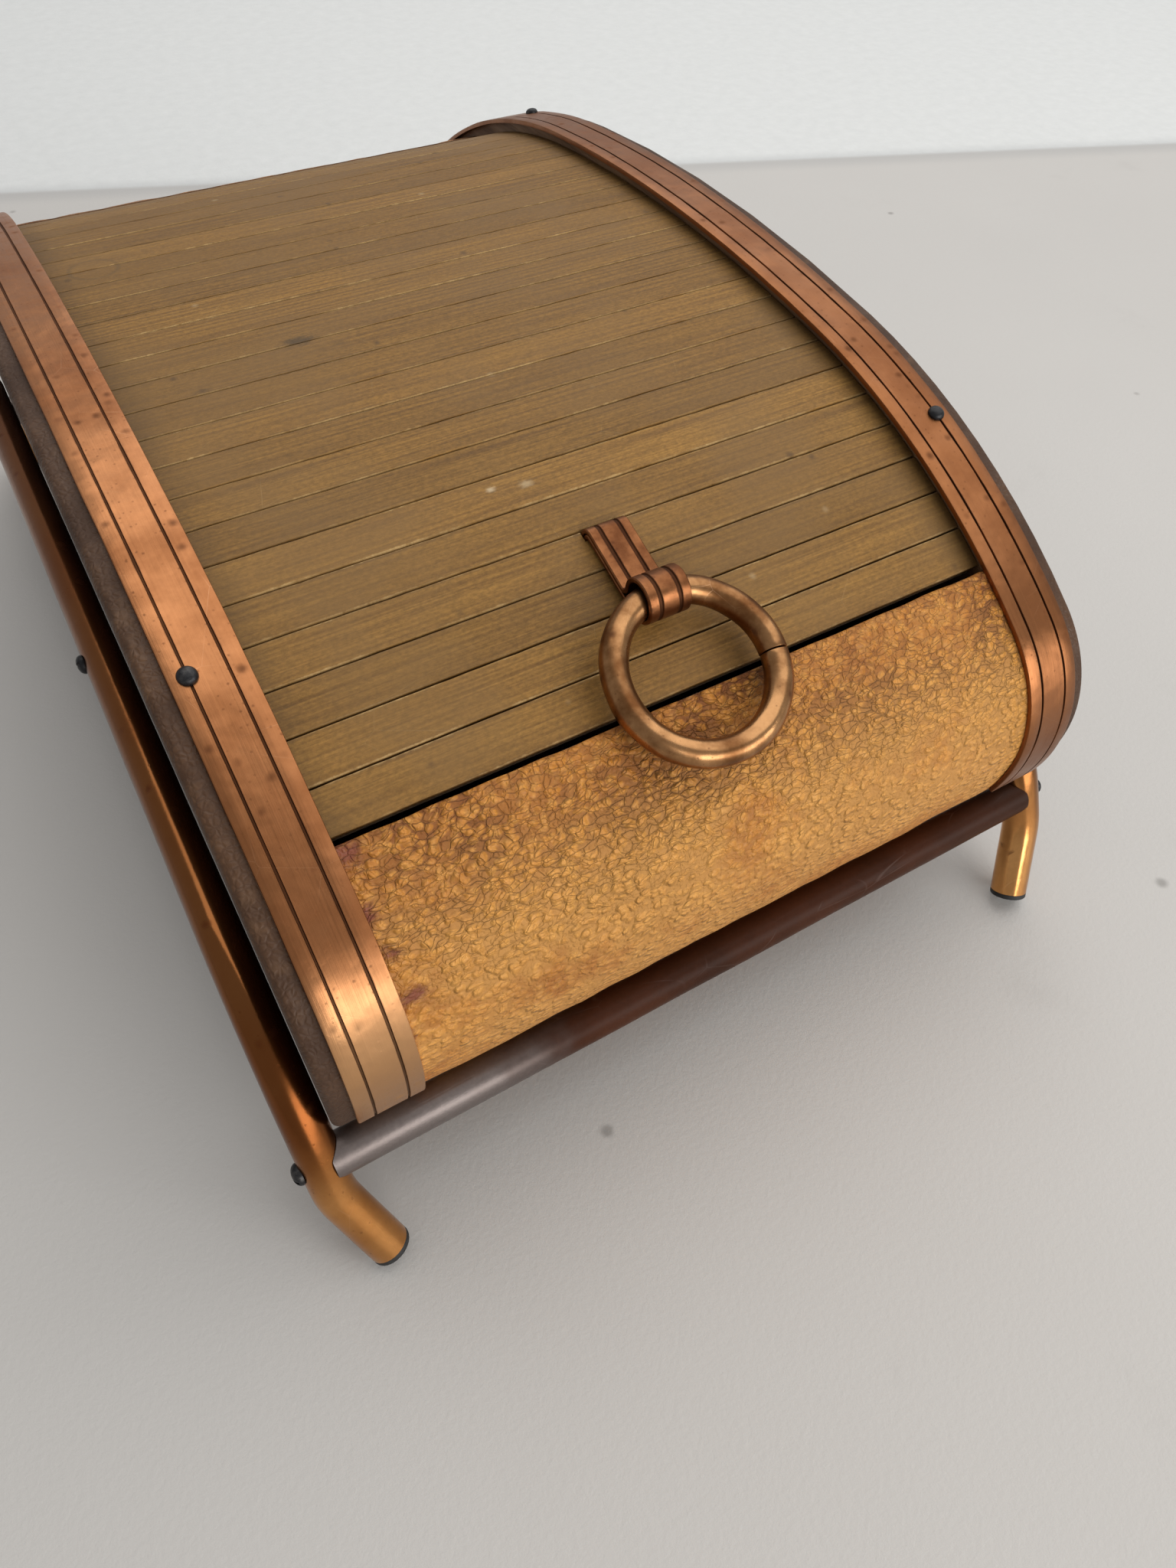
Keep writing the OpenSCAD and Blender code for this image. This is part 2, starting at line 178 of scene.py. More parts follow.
def cloud(vector, scale, detail=3.0, roughness=0.55, distortion=0.0):
    inputs = {"Vector": vector, "Scale": scale, "Detail": detail, "Roughness": roughness}
    return add(vector.tree, "ShaderNodeTexNoise", {**inputs, "Distortion": distortion})["Fac"]


def relief(height, depth, under=None):
    """Bump whose full height is depth, in metres."""
    inputs = {"Height": height, "Distance": depth, "Strength": 1.0}
    if under is not None:
        inputs["Normal"] = under
    return add(height.tree, "ShaderNodeBump", inputs)["Normal"]


def unrolled(place):
    """The piece's own unrolled coordinates, in metres."""
    return add(place.tree, "ShaderNodeUVMap", uv_map="unrolled")["UV"]


def attribute(place, name):
    return add(place.tree, "ShaderNodeAttribute", attribute_name=name)["Fac"]


def split(vector):
    """The X, Y and Z of a vector."""
    return [*add(vector.tree, "ShaderNodeSeparateXYZ", {"Vector": vector}).values()]


def new_material(name):
    """A material, its shader, and the signal of the place on the whole piece."""
    material = bpy.data.materials.new(name)
    material.use_nodes = True
    tree = material.node_tree
    return material, tree.nodes["Principled BSDF"], add(tree, "ShaderNodeTexCoord")["Object"]


def dress(shader, **inputs):
    """Feeds the shader. Underscores stand for spaces."""
    for name, value in inputs.items():
        feed(shader.inputs[name.replace("_", " ")], value)


# %% [markdown]
# ## Shared effects
# Some effects come back in most finishes: cloudy patches, small specks, hairline scratches, and wear along an edge.
# Each is a node group with named inputs, built once. A material places it with its own scale and strength.


# %% Shared effects
def make_group(build, **inputs):
    """A group with a Vector, the given inputs and their defaults, and one output, Mask."""
    group = bpy.data.node_groups.new(build.__name__, "ShaderNodeTree")
    group.interface.new_socket("Vector", in_out="INPUT", socket_type="NodeSocketVector")
    for label, value in inputs.items():
        socket = group.interface.new_socket(label, in_out="INPUT", socket_type="NodeSocketFloat")
        socket.default_value = value
    group.interface.new_socket("Mask", in_out="OUTPUT", socket_type="NodeSocketFloat")
    given = group.nodes.new("NodeGroupInput").outputs
    mask = build(*[Signal(output) for output in given[: len(inputs) + 1]])
    feed(group.nodes.new("NodeGroupOutput").inputs["Mask"], mask)
    return group


def patches(place, scale, low, high):
    return remap(cloud(place, scale, 5.0, 0.6), low, high)


def specks(place, scale, size, share):
    cells = add(place.tree, "ShaderNodeTexVoronoi", {"Vector": place, "Scale": scale})
    picked = calc("LESS_THAN", split(cells["Color"])[0], share)
    ragged = cloud(place, scale, 2.0) * 0.35
    return picked * remap(cells["Distance"] + ragged - 0.17, size, 0.0)


def scratches(place, scale, width, share):
    inputs = {"Vector": place, "Scale": scale, "Randomness": 1.0}
    cells = add(place.tree, "ShaderNodeTexVoronoi", inputs, feature="DISTANCE_TO_EDGE")
    shown = remap(cloud(place, scale, 2.0), 1.0 - share, 1.0)
    return remap(cells["Distance"], width, 0.0) * shown


def edge_wear(place, across, edge, reach, scale):
    ragged = (cloud(place, scale, 4.0, 0.7) - 0.5) * (reach * 2.5)
    return remap(abs(across) + ragged, edge - reach, edge)


PATCHES = make_group(patches, Scale=30.0, Low=0.4, High=0.6)
SPECKS = make_group(specks, Scale=400.0, Size=0.3, Share=0.3)
SCRATCHES = make_group(scratches, Scale=60.0, Width=0.01, Share=0.5)
EDGE_WEAR = make_group(edge_wear, Across=0.0, Edge=0.004, Reach=0.001, Scale=300.0)


def effect(group, vector, **inputs):
    made = vector.tree.nodes.new("ShaderNodeGroup")
    made.node_tree = group
    for name, value in {"Vector": vector, **inputs}.items():
        feed(made.inputs[name], value)
    return Signal(made.outputs["Mask"])


def patchy(place, scale, low, high):
    return effect(PATCHES, place, Scale=scale, Low=low, High=high)


print("groups:", [group.name for group in bpy.data.node_groups])

# %% [markdown]
# ## The box's outline
# From the side the box is a pod: one long arc over the crown, two shoulders, and two round noses that curl under.
# The CAD model draws it with the same arcs. Every rim, cover and lid piece follows this outline, so a small walker
# along it comes first: a slope of 0 is the crown, 90 the rear nose's tip, and the front half has negative slopes.


# %% The outline
def box_in_mm(node):
    low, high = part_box(node)
    return low / MM, high / MM


def beyond(centre, radius, slope):
    angle = math.radians(slope)
    return centre + Vector((0, radius * math.sin(angle), radius * math.cos(angle)))


CROWN_TOP = box_in_mm("edging_left")[1].z
CROWN_R, SHOULDER_R, NOSE_R, BELLY_R = 442.0, 156.0, 30.0, 40.0
CROWN_END, SHOULDER_END, NOSE_END, BELLY_END = 7.0, 34.5, 90.0, 180.0
CROWN_C = Vector((0, 0, CROWN_TOP - CROWN_R))
SHOULDER_C = beyond(CROWN_C, CROWN_R - SHOULDER_R, CROWN_END)
NOSE_C = beyond(SHOULDER_C, SHOULDER_R - NOSE_R, SHOULDER_END)
BELLY_C = beyond(NOSE_C, NOSE_R - BELLY_R, NOSE_END)
ARCS = [
    (CROWN_END, CROWN_C, CROWN_R),
    (SHOULDER_END, SHOULDER_C, SHOULDER_R),
    (NOSE_END, NOSE_C, NOSE_R),
    (BELLY_END, BELLY_C, BELLY_R),
]
STARTS = (-CROWN_END, CROWN_END, SHOULDER_END, NOSE_END)
HALF_WAY = [(start, end, centre) for start, (end, centre, _) in zip(STARTS, ARCS)]
FRONT_WAY = [(-high, -low, Vector((0, -centre.y, centre.z))) for low, high, centre in HALF_WAY[:0:-1]]
WAY = FRONT_WAY + HALF_WAY


def on_outline(slope, depth=0.0, x=0.0):
    """A point at a slope of the outline and a depth below it, in millimetres."""
    centre, radius = next((c, r) for end, c, r in ARCS if abs(slope) <= end + 1e-6)
    place = beyond(centre, radius - depth, abs(slope))
    return Vector((x, math.copysign(place.y, slope), place.z))


def slope_of(place):
    """The slope of the outline that a point lies under or over."""
    for end, centre, _ in ARCS:
        arm = Vector((0, abs(place.y), place.z)) - centre
        slope = math.degrees(math.atan2(max(arm.y, 0.0), arm.z))
        if slope <= end:
            break
    return math.copysign(slope, place.y)


def along_outline(place):
    """How far along the outline a point lies from the middle of the crown."""
    slope, length, start = abs(slope_of(place)), 0.0, 0.0
    for end, _, radius in ARCS:
        length += radius * math.radians(min(slope, end) - start)
        start = end
        if slope <= end:
            break
    if slope > BELLY_END - 0.01:
        length += max(0.0, BELLY_C.y - abs(place.y))
    return math.copysign(length, place.y)


print("nose tip", [round(v, 2) for v in on_outline(90)], "underside", round(on_outline(180).z, 2))

# %% [markdown]
# ## Modelling helpers
# Most pieces are a small cross-section carried along a path. A cross-section starts as a ring of vertices, spin
# carries it round an arc, and extrude carries it straight on. Everything is drawn in millimetres and scaled to
# metres when the piece is finished, with its place in its mesh.


# %% Modelling helpers
SIDES = {"left": -1, "right": 1}
ROUND_EDGES = {"profile": 0.5, "affect": "EDGES", "material": -1}


def ring_of(bm, points, closed=True):
    """Vertices joined by edges, as the start of a sweep."""
    verts = [bm.verts.new(point) for point in points]
    ends = verts[1:] + (verts[:1] if closed else [])
    return verts + [bm.edges.new(pair) for pair in zip(verts, ends)]


def verts_in(geom):
    return [part for part in geom if isinstance(part, bmesh.types.BMVert)]


def edges_in(geom):
    return [part for part in geom if isinstance(part, bmesh.types.BMEdge)]


def turn(bm, ring, centre, axis, angle, steps):
    """Carries a ring round an axis, by an angle in degrees."""
    spun = {"cent": centre, "axis": axis, "angle": math.radians(angle), "steps": steps}
    return bmesh.ops.spin(bm, geom=ring, use_duplicate=False, **spun)["geom_last"]


def pull(bm, ring, shift, steps=1):
    """Carries a ring straight on, in even steps."""
    for _ in range(steps):
        made = bmesh.ops.extrude_edge_only(bm, edges=edges_in(ring))["geom"]
        ring = [part for part in made if not isinstance(part, bmesh.types.BMFace)]
        bmesh.ops.translate(bm, vec=Vector(shift) / steps, verts=verts_in(ring))
    return ring


def sweep(bm, ring, start, end, step=2.0):
    """Carries a ring along the outline, arc after arc, from one slope to another."""
    rearward = end > start
    for low, high, centre in WAY if rearward else reversed(WAY):
        share = min(high, max(start, end)) - max(low, min(start, end))
        if share > 0.01:
            ring = turn(bm, ring, centre, (-1 if rearward else 1, 0, 0), share, math.ceil(share / step))
    return ring


def close_ring(bm, ring):
    bmesh.ops.edgeloop_fill(bm, edges=edges_in(ring))


def raise_faces(bm):
    """Extrudes every face, and returns the vertices of the new ones."""
    return verts_in(bmesh.ops.extrude_face_region(bm, geom=bm.faces[:])["geom"])


def unroll(bm, rule):
    """Gives each corner its unrolled coordinates, from its place in millimetres."""
    layer = bm.loops.layers.uv.new("unrolled")
    for face in bm.faces:
        for corner in face.loops:
            corner[layer].uv = Vector(rule(corner.vert.co)) * MM


def rough_up(bm, height, size, seed=0.0, only=lambda vert: True):
    """Moves vertices in and out a little, as a hand-made surface does. Height and size are in millimetres."""
    bm.normal_update()
    for vert in bm.verts:
        if only(vert):
            vert.co += vert.normal * height * noise.noise(vert.co / size + Vector((seed, seed * 0.7, 0)))


def to_side(bm, side):
    """Mirrors what was drawn at the right, where the side is left."""
    bmesh.ops.scale(bm, vec=(SIDES[side], 1, 1), verts=bm.verts)


def finish_piece(bm, name, material, body, *stands_for, slot, sharp=35.0, turned_out=True):
    """Scales the mesh to metres, marks its sharp edges, and hands it over with its material and body. Its slot is not
    used.
    """
    if turned_out:
        bmesh.ops.recalc_face_normals(bm, faces=bm.faces)
    bmesh.ops.scale(bm, vec=(MM, MM, MM), verts=bm.verts)
    for face in bm.faces:
        face.smooth = True
    for edge in bm.edges:
        edge.smooth = edge.calc_face_angle(0.0) < math.radians(sharp)
    mesh = bpy.data.meshes.new(name)
    bm.to_mesh(mesh)
    bm.free()
    mesh.materials.append(material)
    piece = bpy.data.objects.new(name, mesh)
    bpy.context.scene.collection.objects.link(piece)
    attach(piece, body)
    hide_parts(*stands_for)
    print(name, len(mesh.polygons), "faces")
    return piece


# %% [markdown]
# ## Copper finishes
# Four kinds of copper are on the box. The rims are bright, rolled strip with a brushed face and brown spots; a painted
# highlight brightens the left nose, and painted shade darkens the right rim and the shoulders. The tubes are golden at
# their legs and darker red up at the rails, partly dark red oxide and partly painted shade. The ring and its strap are
# thicker and browner. One recipe makes them all: metal colour, darker clouds, spots, scratches and fine brushing.


# %% Copper
def copper(name, bright, dull, clouds, spots, roughness, brushed=None, darkening_and_painted_light=None, dents=0.0003):
    """Clouds is (scale, low, high) of the dull patches, spots their scale and share, brushed the brush lines."""
    material, shader, place = new_material(name)
    patch = patchy(place, *clouds)
    fine = cloud(place, 900.0, 4.0, 0.7)
    colour = shaded(mix(patch, dull, bright), 0.35, fine, (0.55, 0.5, 0.48), (1.35, 1.35, 1.35))
    scale, share = spots
    large = effect(SPECKS, place, Scale=scale, Size=0.42, Share=share)
    small = effect(SPECKS, place, Scale=scale * 3.1, Size=0.35, Share=share * 1.3)
    spot = calc("MAXIMUM", large, small * 0.6)
    scratch = effect(SCRATCHES, place, Scale=85.0, Width=0.006, Share=0.62)
    colour = tint(colour, (spot, 0.75, (0.10, 0.04, 0.02)), (scratch, 0.35, (1.0, 0.62, 0.38)))
    rough = patch * -0.12 + (roughness + 0.10) + spot * 0.25
    height = fine * 0.35 + spot * -0.5 + scratch * -0.4
    if brushed:
        lines = cloud(stretched(unrolled(place), *brushed), 1.0, 3.0, 0.6)
        height += lines * 0.8
        rough += (lines - 0.5) * 0.2
        colour = tint(colour, (lines, 0.25, (0.32, 0.12, 0.05)))
    # The callback adds oxide, and for the rims and the tubes a painted highlight and painted shade.
    if darkening_and_painted_light:
        colour, rough = darkening_and_painted_light(place, colour, rough)
    normal = relief(height, 0.00003, relief(cloud(place, 130.0, 2.0), dents))
    dress(shader, Base_Color=colour, Metallic=1.0, Roughness=rough, Normal=normal)
    return material


def oxide(place, colour, rough, lines, width):
    """Dark oxide in engraved lines, whose places across the strip are given in metres."""
    lie = unrolled(place)
    reach = cloud(stretched(lie, 300.0, 120.0), 1.0, 3.0) * width
    for line in lines:
        dark = remap(abs(abs(split(lie)[0]) - line), reach, reach * 0.4)
        colour = tint(colour, (dark, 0.80, (0.040, 0.016, 0.009)))
        rough = mix(dark, rough, (0.6, 0.6, 0.6))
    return colour, rough


def rim_painted_light_and_oxide(place, colour, rough):
    """A painted highlight brightens the left nose, and painted shade darkens the right rim and the shoulders. The
    lines hold oxide.
    """
    x, _, height = split(place)
    right = remap(x, -0.02, 0.02)
    # Painted highlight on the left nose, painted shade on the right rim and the shoulders.
    painted_nose_highlight = remap(height, 0.080, 0.062) * (1.0 - right)
    shoulder = remap(height, 0.102, 0.092) * remap(height, 0.068, 0.080)
    painted_rim_shade = calc("MAXIMUM", right * 0.60, shoulder * 0.40)
    colour = mix(painted_rim_shade, tint(colour, (painted_nose_highlight, 0.75, (0.600, 0.345, 0.165))), (0.160, 0.060, 0.022))
    return oxide(place, colour, rough, (0.068, 0.074), 0.0007)


def strap_grime(place, colour, rough):
    return oxide(place, colour, rough, (0.0019,), 0.0012)


def red_rails_and_painted_shade(place, colour, rough):
    """Darker red on the rails and their bends: the tube's dark red oxide, with painted shade where the rails lie in
    shadow. The legs below them stay golden.
    """
    # Partly dark red oxide, partly painted shade on the rails.
    height = split(place)[2] + cloud(place, 45.0) * 0.016
    return tint(colour, (remap(height, 0.024, 0.046), 0.85, (0.120, 0.032, 0.009))), rough


COPPERS = {
    "rim_copper": dict(
        bright=(0.490, 0.215, 0.090),
        dull=(0.280, 0.108, 0.040),
        clouds=(38.0, 0.30, 0.62),
        spots=(330.0, 0.22),
        roughness=0.35,
        brushed=(2500.0, 25.0),
        darkening_and_painted_light=rim_painted_light_and_oxide,
    ),
    "tube_copper": dict(
        bright=(0.660, 0.330, 0.115),
        dull=(0.420, 0.170, 0.045),
        clouds=(19.0, 0.36, 0.68),
        spots=(300.0, 0.08),
        roughness=0.17,
        darkening_and_painted_light=red_rails_and_painted_shade,
        dents=0.00008,
    ),
    "ring_copper": dict(
        bright=(0.450, 0.240, 0.105),
        dull=(0.150, 0.062, 0.022),
        clouds=(120.0, 0.34, 0.7),
        spots=(420.0, 0.16),
        roughness=0.27,
    ),
    "strap_copper": dict(
        bright=(0.230, 0.095, 0.038),
        dull=(0.100, 0.036, 0.014),
        clouds=(150.0, 0.35, 0.65),
        spots=(700.0, 0.30),
        roughness=0.36,
        brushed=(1500.0, 60.0),
        darkening_and_painted_light=strap_grime,
    ),
}
rim_copper, tube_copper, ring_copper, strap_copper = (copper(name, **recipe) for name, recipe in COPPERS.items())
print("copper finishes:", list(COPPERS))

# %% [markdown]
# ## Other metal, and rubber
# The two crossbars carry a dark maroon lacquer with pale scuffs, and a painted highlight turns their left ends grey
# and metallic. The nails and the slotted screws are blackened steel, and the tubes are closed by black plugs, which
# are the feet.


# %% Crossbar lacquer, black steel and plugs
def bar_lacquer():
    material, shader, place = new_material("bar_lacquer")
    patch = patchy(place, 30.0, 0.35, 0.7)
    scuff = effect(SCRATCHES, stretched(place, 1.0, 2.2, 2.2), Scale=70.0, Width=0.02, Share=0.55)
    rubbed = patchy(stretched(place, 1.0, 3.0, 3.0), 22.0, 0.58, 0.75)
    fine = cloud(place, 1400.0, 3.0, 0.7)
    colour = mix(patch, (0.034, 0.013, 0.007), (0.062, 0.021, 0.010))
    colour = mix(scuff * 0.22 + rubbed * 0.03, colour, (0.42, 0.33, 0.30))
    # Painted highlight: the left ends turn grey and metallic.
    painted_end_highlight = remap(split(place)[0] + cloud(place, 60.0) * 0.050, -0.002, -0.042) * 0.75
    colour = shaded(mix(painted_end_highlight, colour, (0.240, 0.210, 0.200)), 0.4, fine, (0.5, 0.5, 0.5), (1.5, 1.5, 1.5))
    rough = fine * 0.12 + rubbed * 0.15 + 0.33
    normal = relief(fine - scuff, 0.00003, relief(patch, 0.0001))
    dress(shader, Base_Color=colour, Roughness=rough, Normal=normal, Metallic=painted_end_highlight, Specular_IOR_Level=0.07)
    return material


def black_finish(name, colour, worn, roughness, metallic):
    material, shader, place = new_material(name)
    fine = cloud(place, 1600.0, 4.0, 0.7)
    shade = mix(patchy(place, 500.0, 0.5, 0.8) * 0.5, colour, worn)
    rough = fine * 0.25 + roughness
    dress(shader, Base_Color=shade, Roughness=rough, Metallic=metallic, Normal=relief(fine, 0.00006))
    return material


maroon_lacquer = bar_lacquer()
black_steel = black_finish("black_steel", (0.016, 0.016, 0.018), (0.16, 0.15, 0.14), 0.25, 0.6)
black_rubber = black_finish("black_rubber", (0.012, 0.012, 0.012), (0.06, 0.06, 0.06), 0.55, 0.0)
print("dark finishes:", maroon_lacquer.name, black_steel.name, black_rubber.name)

# %% [markdown]
# ## Slat wood
# The slats are a fine straight-grained hardwood, stained olive brown. Each has its own tone. Their long edges are
# rubbed pale where they meet, dirt sits in the joints, and the lid has a few stains that run over several slats.
# Painted shade darkens the slat ends next to the copper strips.
# The grain follows the slat, so it reads unrolled coordinates, while the stains read the place on the whole box.

# %% Wood of the slats
# Each stain: its place, its size along and across the slats (all in mm), its shade and its strength.
STAINS = [
    ((-28.7, -12.1, 104.5), (5.5, 2.4), (0.055, 0.038, 0.022), 0.75),
    ((-22.0, -16.0, 104.0), (3.0, 1.2), (0.06, 0.04, 0.02), 0.5),
    ((-14.5, -64.9, 99.6), (1.6, 0.9), (0.62, 0.50, 0.33), 0.6),
    ((-8.0, -66.0, 99.4), (2.2, 1.3), (0.52, 0.40, 0.24), 0.5),
    ((-50.0, -20.0, 104.0), (3.0, 1.0), (0.08, 0.05, 0.025), 0.4),
    ((-40.0, -92.0, 88.0), (4.0, 1.5), (0.07, 0.045, 0.02), 0.45),
    ((6.0, -79.0, 93.0), (6.0, 4.0), (0.09, 0.05, 0.025), 0.5),
    ((22.0, -70.0, 97.0), (2.0, 1.0), (0.07, 0.04, 0.02), 0.45),
]
GLASS_RING, GLASS_RING_R = Vector((-55.5, 36.6, 103.2)), 5.0


def stain_mask(place, spot, size):
    """A soft, ragged oval round a place, from its size along the slats and across them."""
    shift = add(place.tree, "ShaderNodeMapping", {"Vector": place, "Location": Vector(spot) * -MM})["Vector"]
    narrowed = stretched(shift, 1 / size[0] / MM, 1 / size[1] / MM, 1 / size[1] / MM)
    ragged = cloud(stretched(place, 1.0, 2.5, 2.5), 420.0, 4.0, 0.7) * 1.3
    return remap(vector_calc("LENGTH", "Value", narrowed) + ragged, 1.55, 0.75)


def wood_of_slats():
    material, shader, place = new_material("slat_wood")
    lie = unrolled(place)
    across = split(lie)[1]
    tone = attribute(place, "tone")
    streak = cloud(stretched(lie, 22.0, 1500.0), 1.0, 5.0, 0.65, 0.3)
    pores = cloud(stretched(lie, 160.0, 4200.0), 1.0, 3.0, 0.7)
    broad = cloud(stretched(lie, 9.0, 190.0), 1.0, 3.0, 0.5)
    haze = cloud(place, 28.0, 4.0, 0.55)
    fine = cloud(stretched(place, 0.6, 1.0), 1700.0, 4.0, 0.75)
    grain = mix(remap(streak, 0.32, 0.68), (0.150, 0.073, 0.017), (0.290, 0.152, 0.036))
    broad_mask, pore_mask = remap(broad, 0.35, 0.7), remap(pores, 0.52, 0.80)
    colour = tint(grain, (broad_mask, 0.5, (0.200, 0.102, 0.025)), (pore_mask, 0.45, (0.095, 0.050, 0.017)))
    colour = shaded(colour, 1.0, tone, (0.82, 0.81, 0.80), (1.14, 1.14, 1.12))
    colour = shaded(colour, 0.55, remap(fine, 0.3, 0.7), (0.6, 0.6, 0.6), (1.4, 1.4, 1.4))
    colour = mix(remap(haze, 0.35, 0.68, 0.0, 0.55), colour, (0.195, 0.110, 0.040))

    wear = effect(EDGE_WEAR, lie, Across=across, Edge=0.00405, Reach=0.00040, Scale=520.0)
    near_joint = effect(EDGE_WEAR, lie, Across=across, Edge=0.0043, Reach=0.0012, Scale=160.0)
    share = remap(cloud(stretched(lie, 60.0, 30.0), 1.0, 3.0), 0.36, 0.62)
    wear *= share * remap(tone, 0.0, 0.8, 0.35, 1.3)
    scratch = effect(SCRATCHES, stretched(place, 1.0, 1.6, 1.6), Scale=55.0, Width=0.006, Share=0.55)
    stains = [(stain_mask(place, spot, size), strength, shade) for spot, size, shade, strength in STAINS]
    away = vector_calc("DISTANCE", "Value", place, GLASS_RING * MM)
    # Painted shade along the slat ends, next to the copper strips.
    darkening_and_painted_light = remap(abs(split(place)[0]) + haze * 0.008, 0.062, 0.070)
    colour = tint(
        colour,
        (near_joint, 0.20, (0.115, 0.066, 0.028)),
        (wear, 0.62, (0.56, 0.38, 0.17)),
        (effect(SPECKS, place, Scale=260.0, Size=0.3, Share=0.035), 0.6, (0.07, 0.04, 0.02)),
        (effect(SPECKS, place, Scale=190.0, Size=0.22, Share=0.03), 0.4, (0.55, 0.42, 0.24)),
        (scratch, 0.35, (0.50, 0.36, 0.18)),
        *stains,
        (remap(abs(away - GLASS_RING_R * MM), 0.0008, 0.0), 0.35, (0.10, 0.065, 0.03)),
        (darkening_and_painted_light, 0.45, (0.085, 0.05, 0.02)),
    )
    weave = add(place.tree, "ShaderNodeTexChecker", {"Vector": lie, "Scale": 1800.0})["Fac"]
    canvas = mix(weave, (0.16, 0.13, 0.09), (0.24, 0.20, 0.14))
    colour = mix(attribute(place, "cloth"), colour, canvas)
    rough = remap(streak, 0.2, 0.8, 0.50, 0.62) + wear * 0.2
    height = streak * 0.5 + pores * -0.5 + wear * -0.6 + scratch * -0.5
    normal = relief(height, 0.00012, relief(broad, 0.0005))
    dress(shader, Base_Color=colour, Roughness=rough, Normal=normal, Specular_IOR_Level=0.22)
    return material


slat_wood = wood_of_slats()
print("slat wood:", len(slat_wood.node_tree.nodes), "nodes")

# %% [markdown]
# ## Leathers
# The noses wear a golden tan leather with a deep pebbled grain. Painted shade darkens its valleys and the creases that
# cross on the upper half, a painted highlight brightens the lower half, painted shade darkens the bottom and the edges
# next to the copper, and old glue has left dark red patches along the left edge. The side boards wear a thin, dark
# brown leather, with painted shade in its creases. The pebbles are rounded cells, and the creases are the cells'
# edges.

# %% Leathers
# Each glue patch: its place and its size along x and across it, in mm.
GLUE_PATCHES = [
    ((-64.0, -112.5, 83.0), (4.6, 4.5)),
    ((-65.0, -121.1, 78.4), (3.0, 4.0)),
    ((-63.8, -126.1, 74.1), (3.6, 2.6)),
    ((-63.0, -131.0, 68.0), (4.8, 2.8)),
    ((-65.5, -135.0, 62.0), (1.6, 4.0)),
]


def creases(vector, scale, width):
    """Lines between the cells of a grain, as a mask that the leathers darken as painted shade, and the swelling of
    each cell.
    """
    inputs = {"Vector": vector, "Scale": scale, "Randomness": 0.95}
    edge = add(vector.tree, "ShaderNodeTexVoronoi", inputs, feature="DISTANCE_TO_EDGE")["Distance"]
    return remap(edge, width, 0.0), remap(edge, 0.0, 0.35)


def pebbles(vector, scale):
    """Rounded pebbles with soft valleys between them: their height, and a mask of the valleys."""
    inputs = {"Vector": vector, "Scale": scale, "Smoothness": 0.22, "Randomness": 0.9}
    away = add(vector.tree, "ShaderNodeTexVoronoi", inputs, feature="SMOOTH_F1")["Distance"]
    return remap(away, 0.66, 0.20), remap(away, 0.44, 0.64)


def bent_place(vector, scale, amount):
    """Shifts a pattern by a cloud, so that its lines don't run straight."""
    push = add(vector.tree, "ShaderNodeTexNoise", {"Vector": vector, "Scale": scale, "Detail": 2.0})["Color"]
    push = vector_calc("SUBTRACT", "Vector", push, (0.5, 0.5, 0.5))
    push = vector_calc("SCALE", "Vector", push, scale=amount)
    return vector_calc("ADD", "Vector", vector, push)


def golden_leather():
    material, shader, place = new_material("golden_leather")
    x, _, up = split(place)
    lie = bent_place(unrolled(place), 210.0, 0.0022)
    pebble, valley = pebbles(stretched(lie, 1.0, 1.35), 520.0)
    small_pebble, small_valley = pebbles(bent_place(lie, 900.0, 0.0006), 1250.0)
    cover = cloud(place, 48.0, 3.0, 0.6)
    deep = remap(cover, 0.34, 0.60, 0.45, 0.95)
    fine = cloud(place, 2600.0, 3.0, 0.7)
    # Painted shade: the valleys of the large and the small pebbles are darkened towards brown.
    painted_valley_shade = calc("MAXIMUM", valley * deep * 0.95, small_valley * 0.22)
    crossing = creases(stretched(bent_place(lie, 420.0, 0.0012), 0.8, 1.5), 560.0, 0.085)[0]
    crossing = crossing * remap(up, 0.060, 0.078) * remap(cover, 0.3, 0.6, 0.45, 1.0)

    colour = mix(patchy(place, 42.0, 0.36, 0.66), (0.430, 0.160, 0.022), (0.560, 0.228, 0.036))
    colour = tint(
        colour,
        (patchy(place, 520.0, 0.46, 0.60), 0.36, (0.700, 0.350, 0.080)),
        (patchy(place, 330.0, 0.50, 0.66), 0.30, (0.390, 0.130, 0.018)),
    )
    # Painted shade in the crossing creases, a painted highlight on the lower nose, painted shade towards the bottom,
    # and a darker band at the top lip.
    colour = tint(
        mix(painted_valley_shade, colour, (0.150, 0.042, 0.008)),
        (crossing, 0.42, (0.190, 0.062, 0.012)),
        (remap(up, 0.084, 0.070) * remap(cover, 0.3, 0.55), 0.42, (0.860, 0.450, 0.115)),
        (remap(up, 0.052, 0.030), 0.4, (0.360, 0.130, 0.026)),
        (remap(up, 0.0850, 0.0885), 0.35, (0.300, 0.120, 0.030)),
    )
    for spot, size in GLUE_PATCHES:
        glue = stain_mask(place, spot, size)
        core = remap(glue, 0.75, 1.0)
        colour = tint(colour, (glue, 0.85, (0.115, 0.022, 0.014)), (core, 0.35, (0.300, 0.085, 0.045)))
    # Painted shadow along the side edges, next to the copper strips.
    side = abs(x) + cloud(place, 420.0, 4.0, 0.7) * 0.0022
    colour = tint(colour, (remap(side, 0.0655, 0.0675), 0.6, (0.12, 0.045, 0.02)))
    rough = painted_valley_shade * 0.25 + remap(fine, 0.3, 0.7, 0.40, 0.54)
    height = pebble * deep + small_pebble * 0.20 + fine * 0.08 - crossing * 0.35
    normal = relief(height, 0.00075, relief(cover, 0.0012))
    dress(shader, Base_Color=colour, Roughness=rough, Normal=normal, Specular_IOR_Level=0.35)
    return material


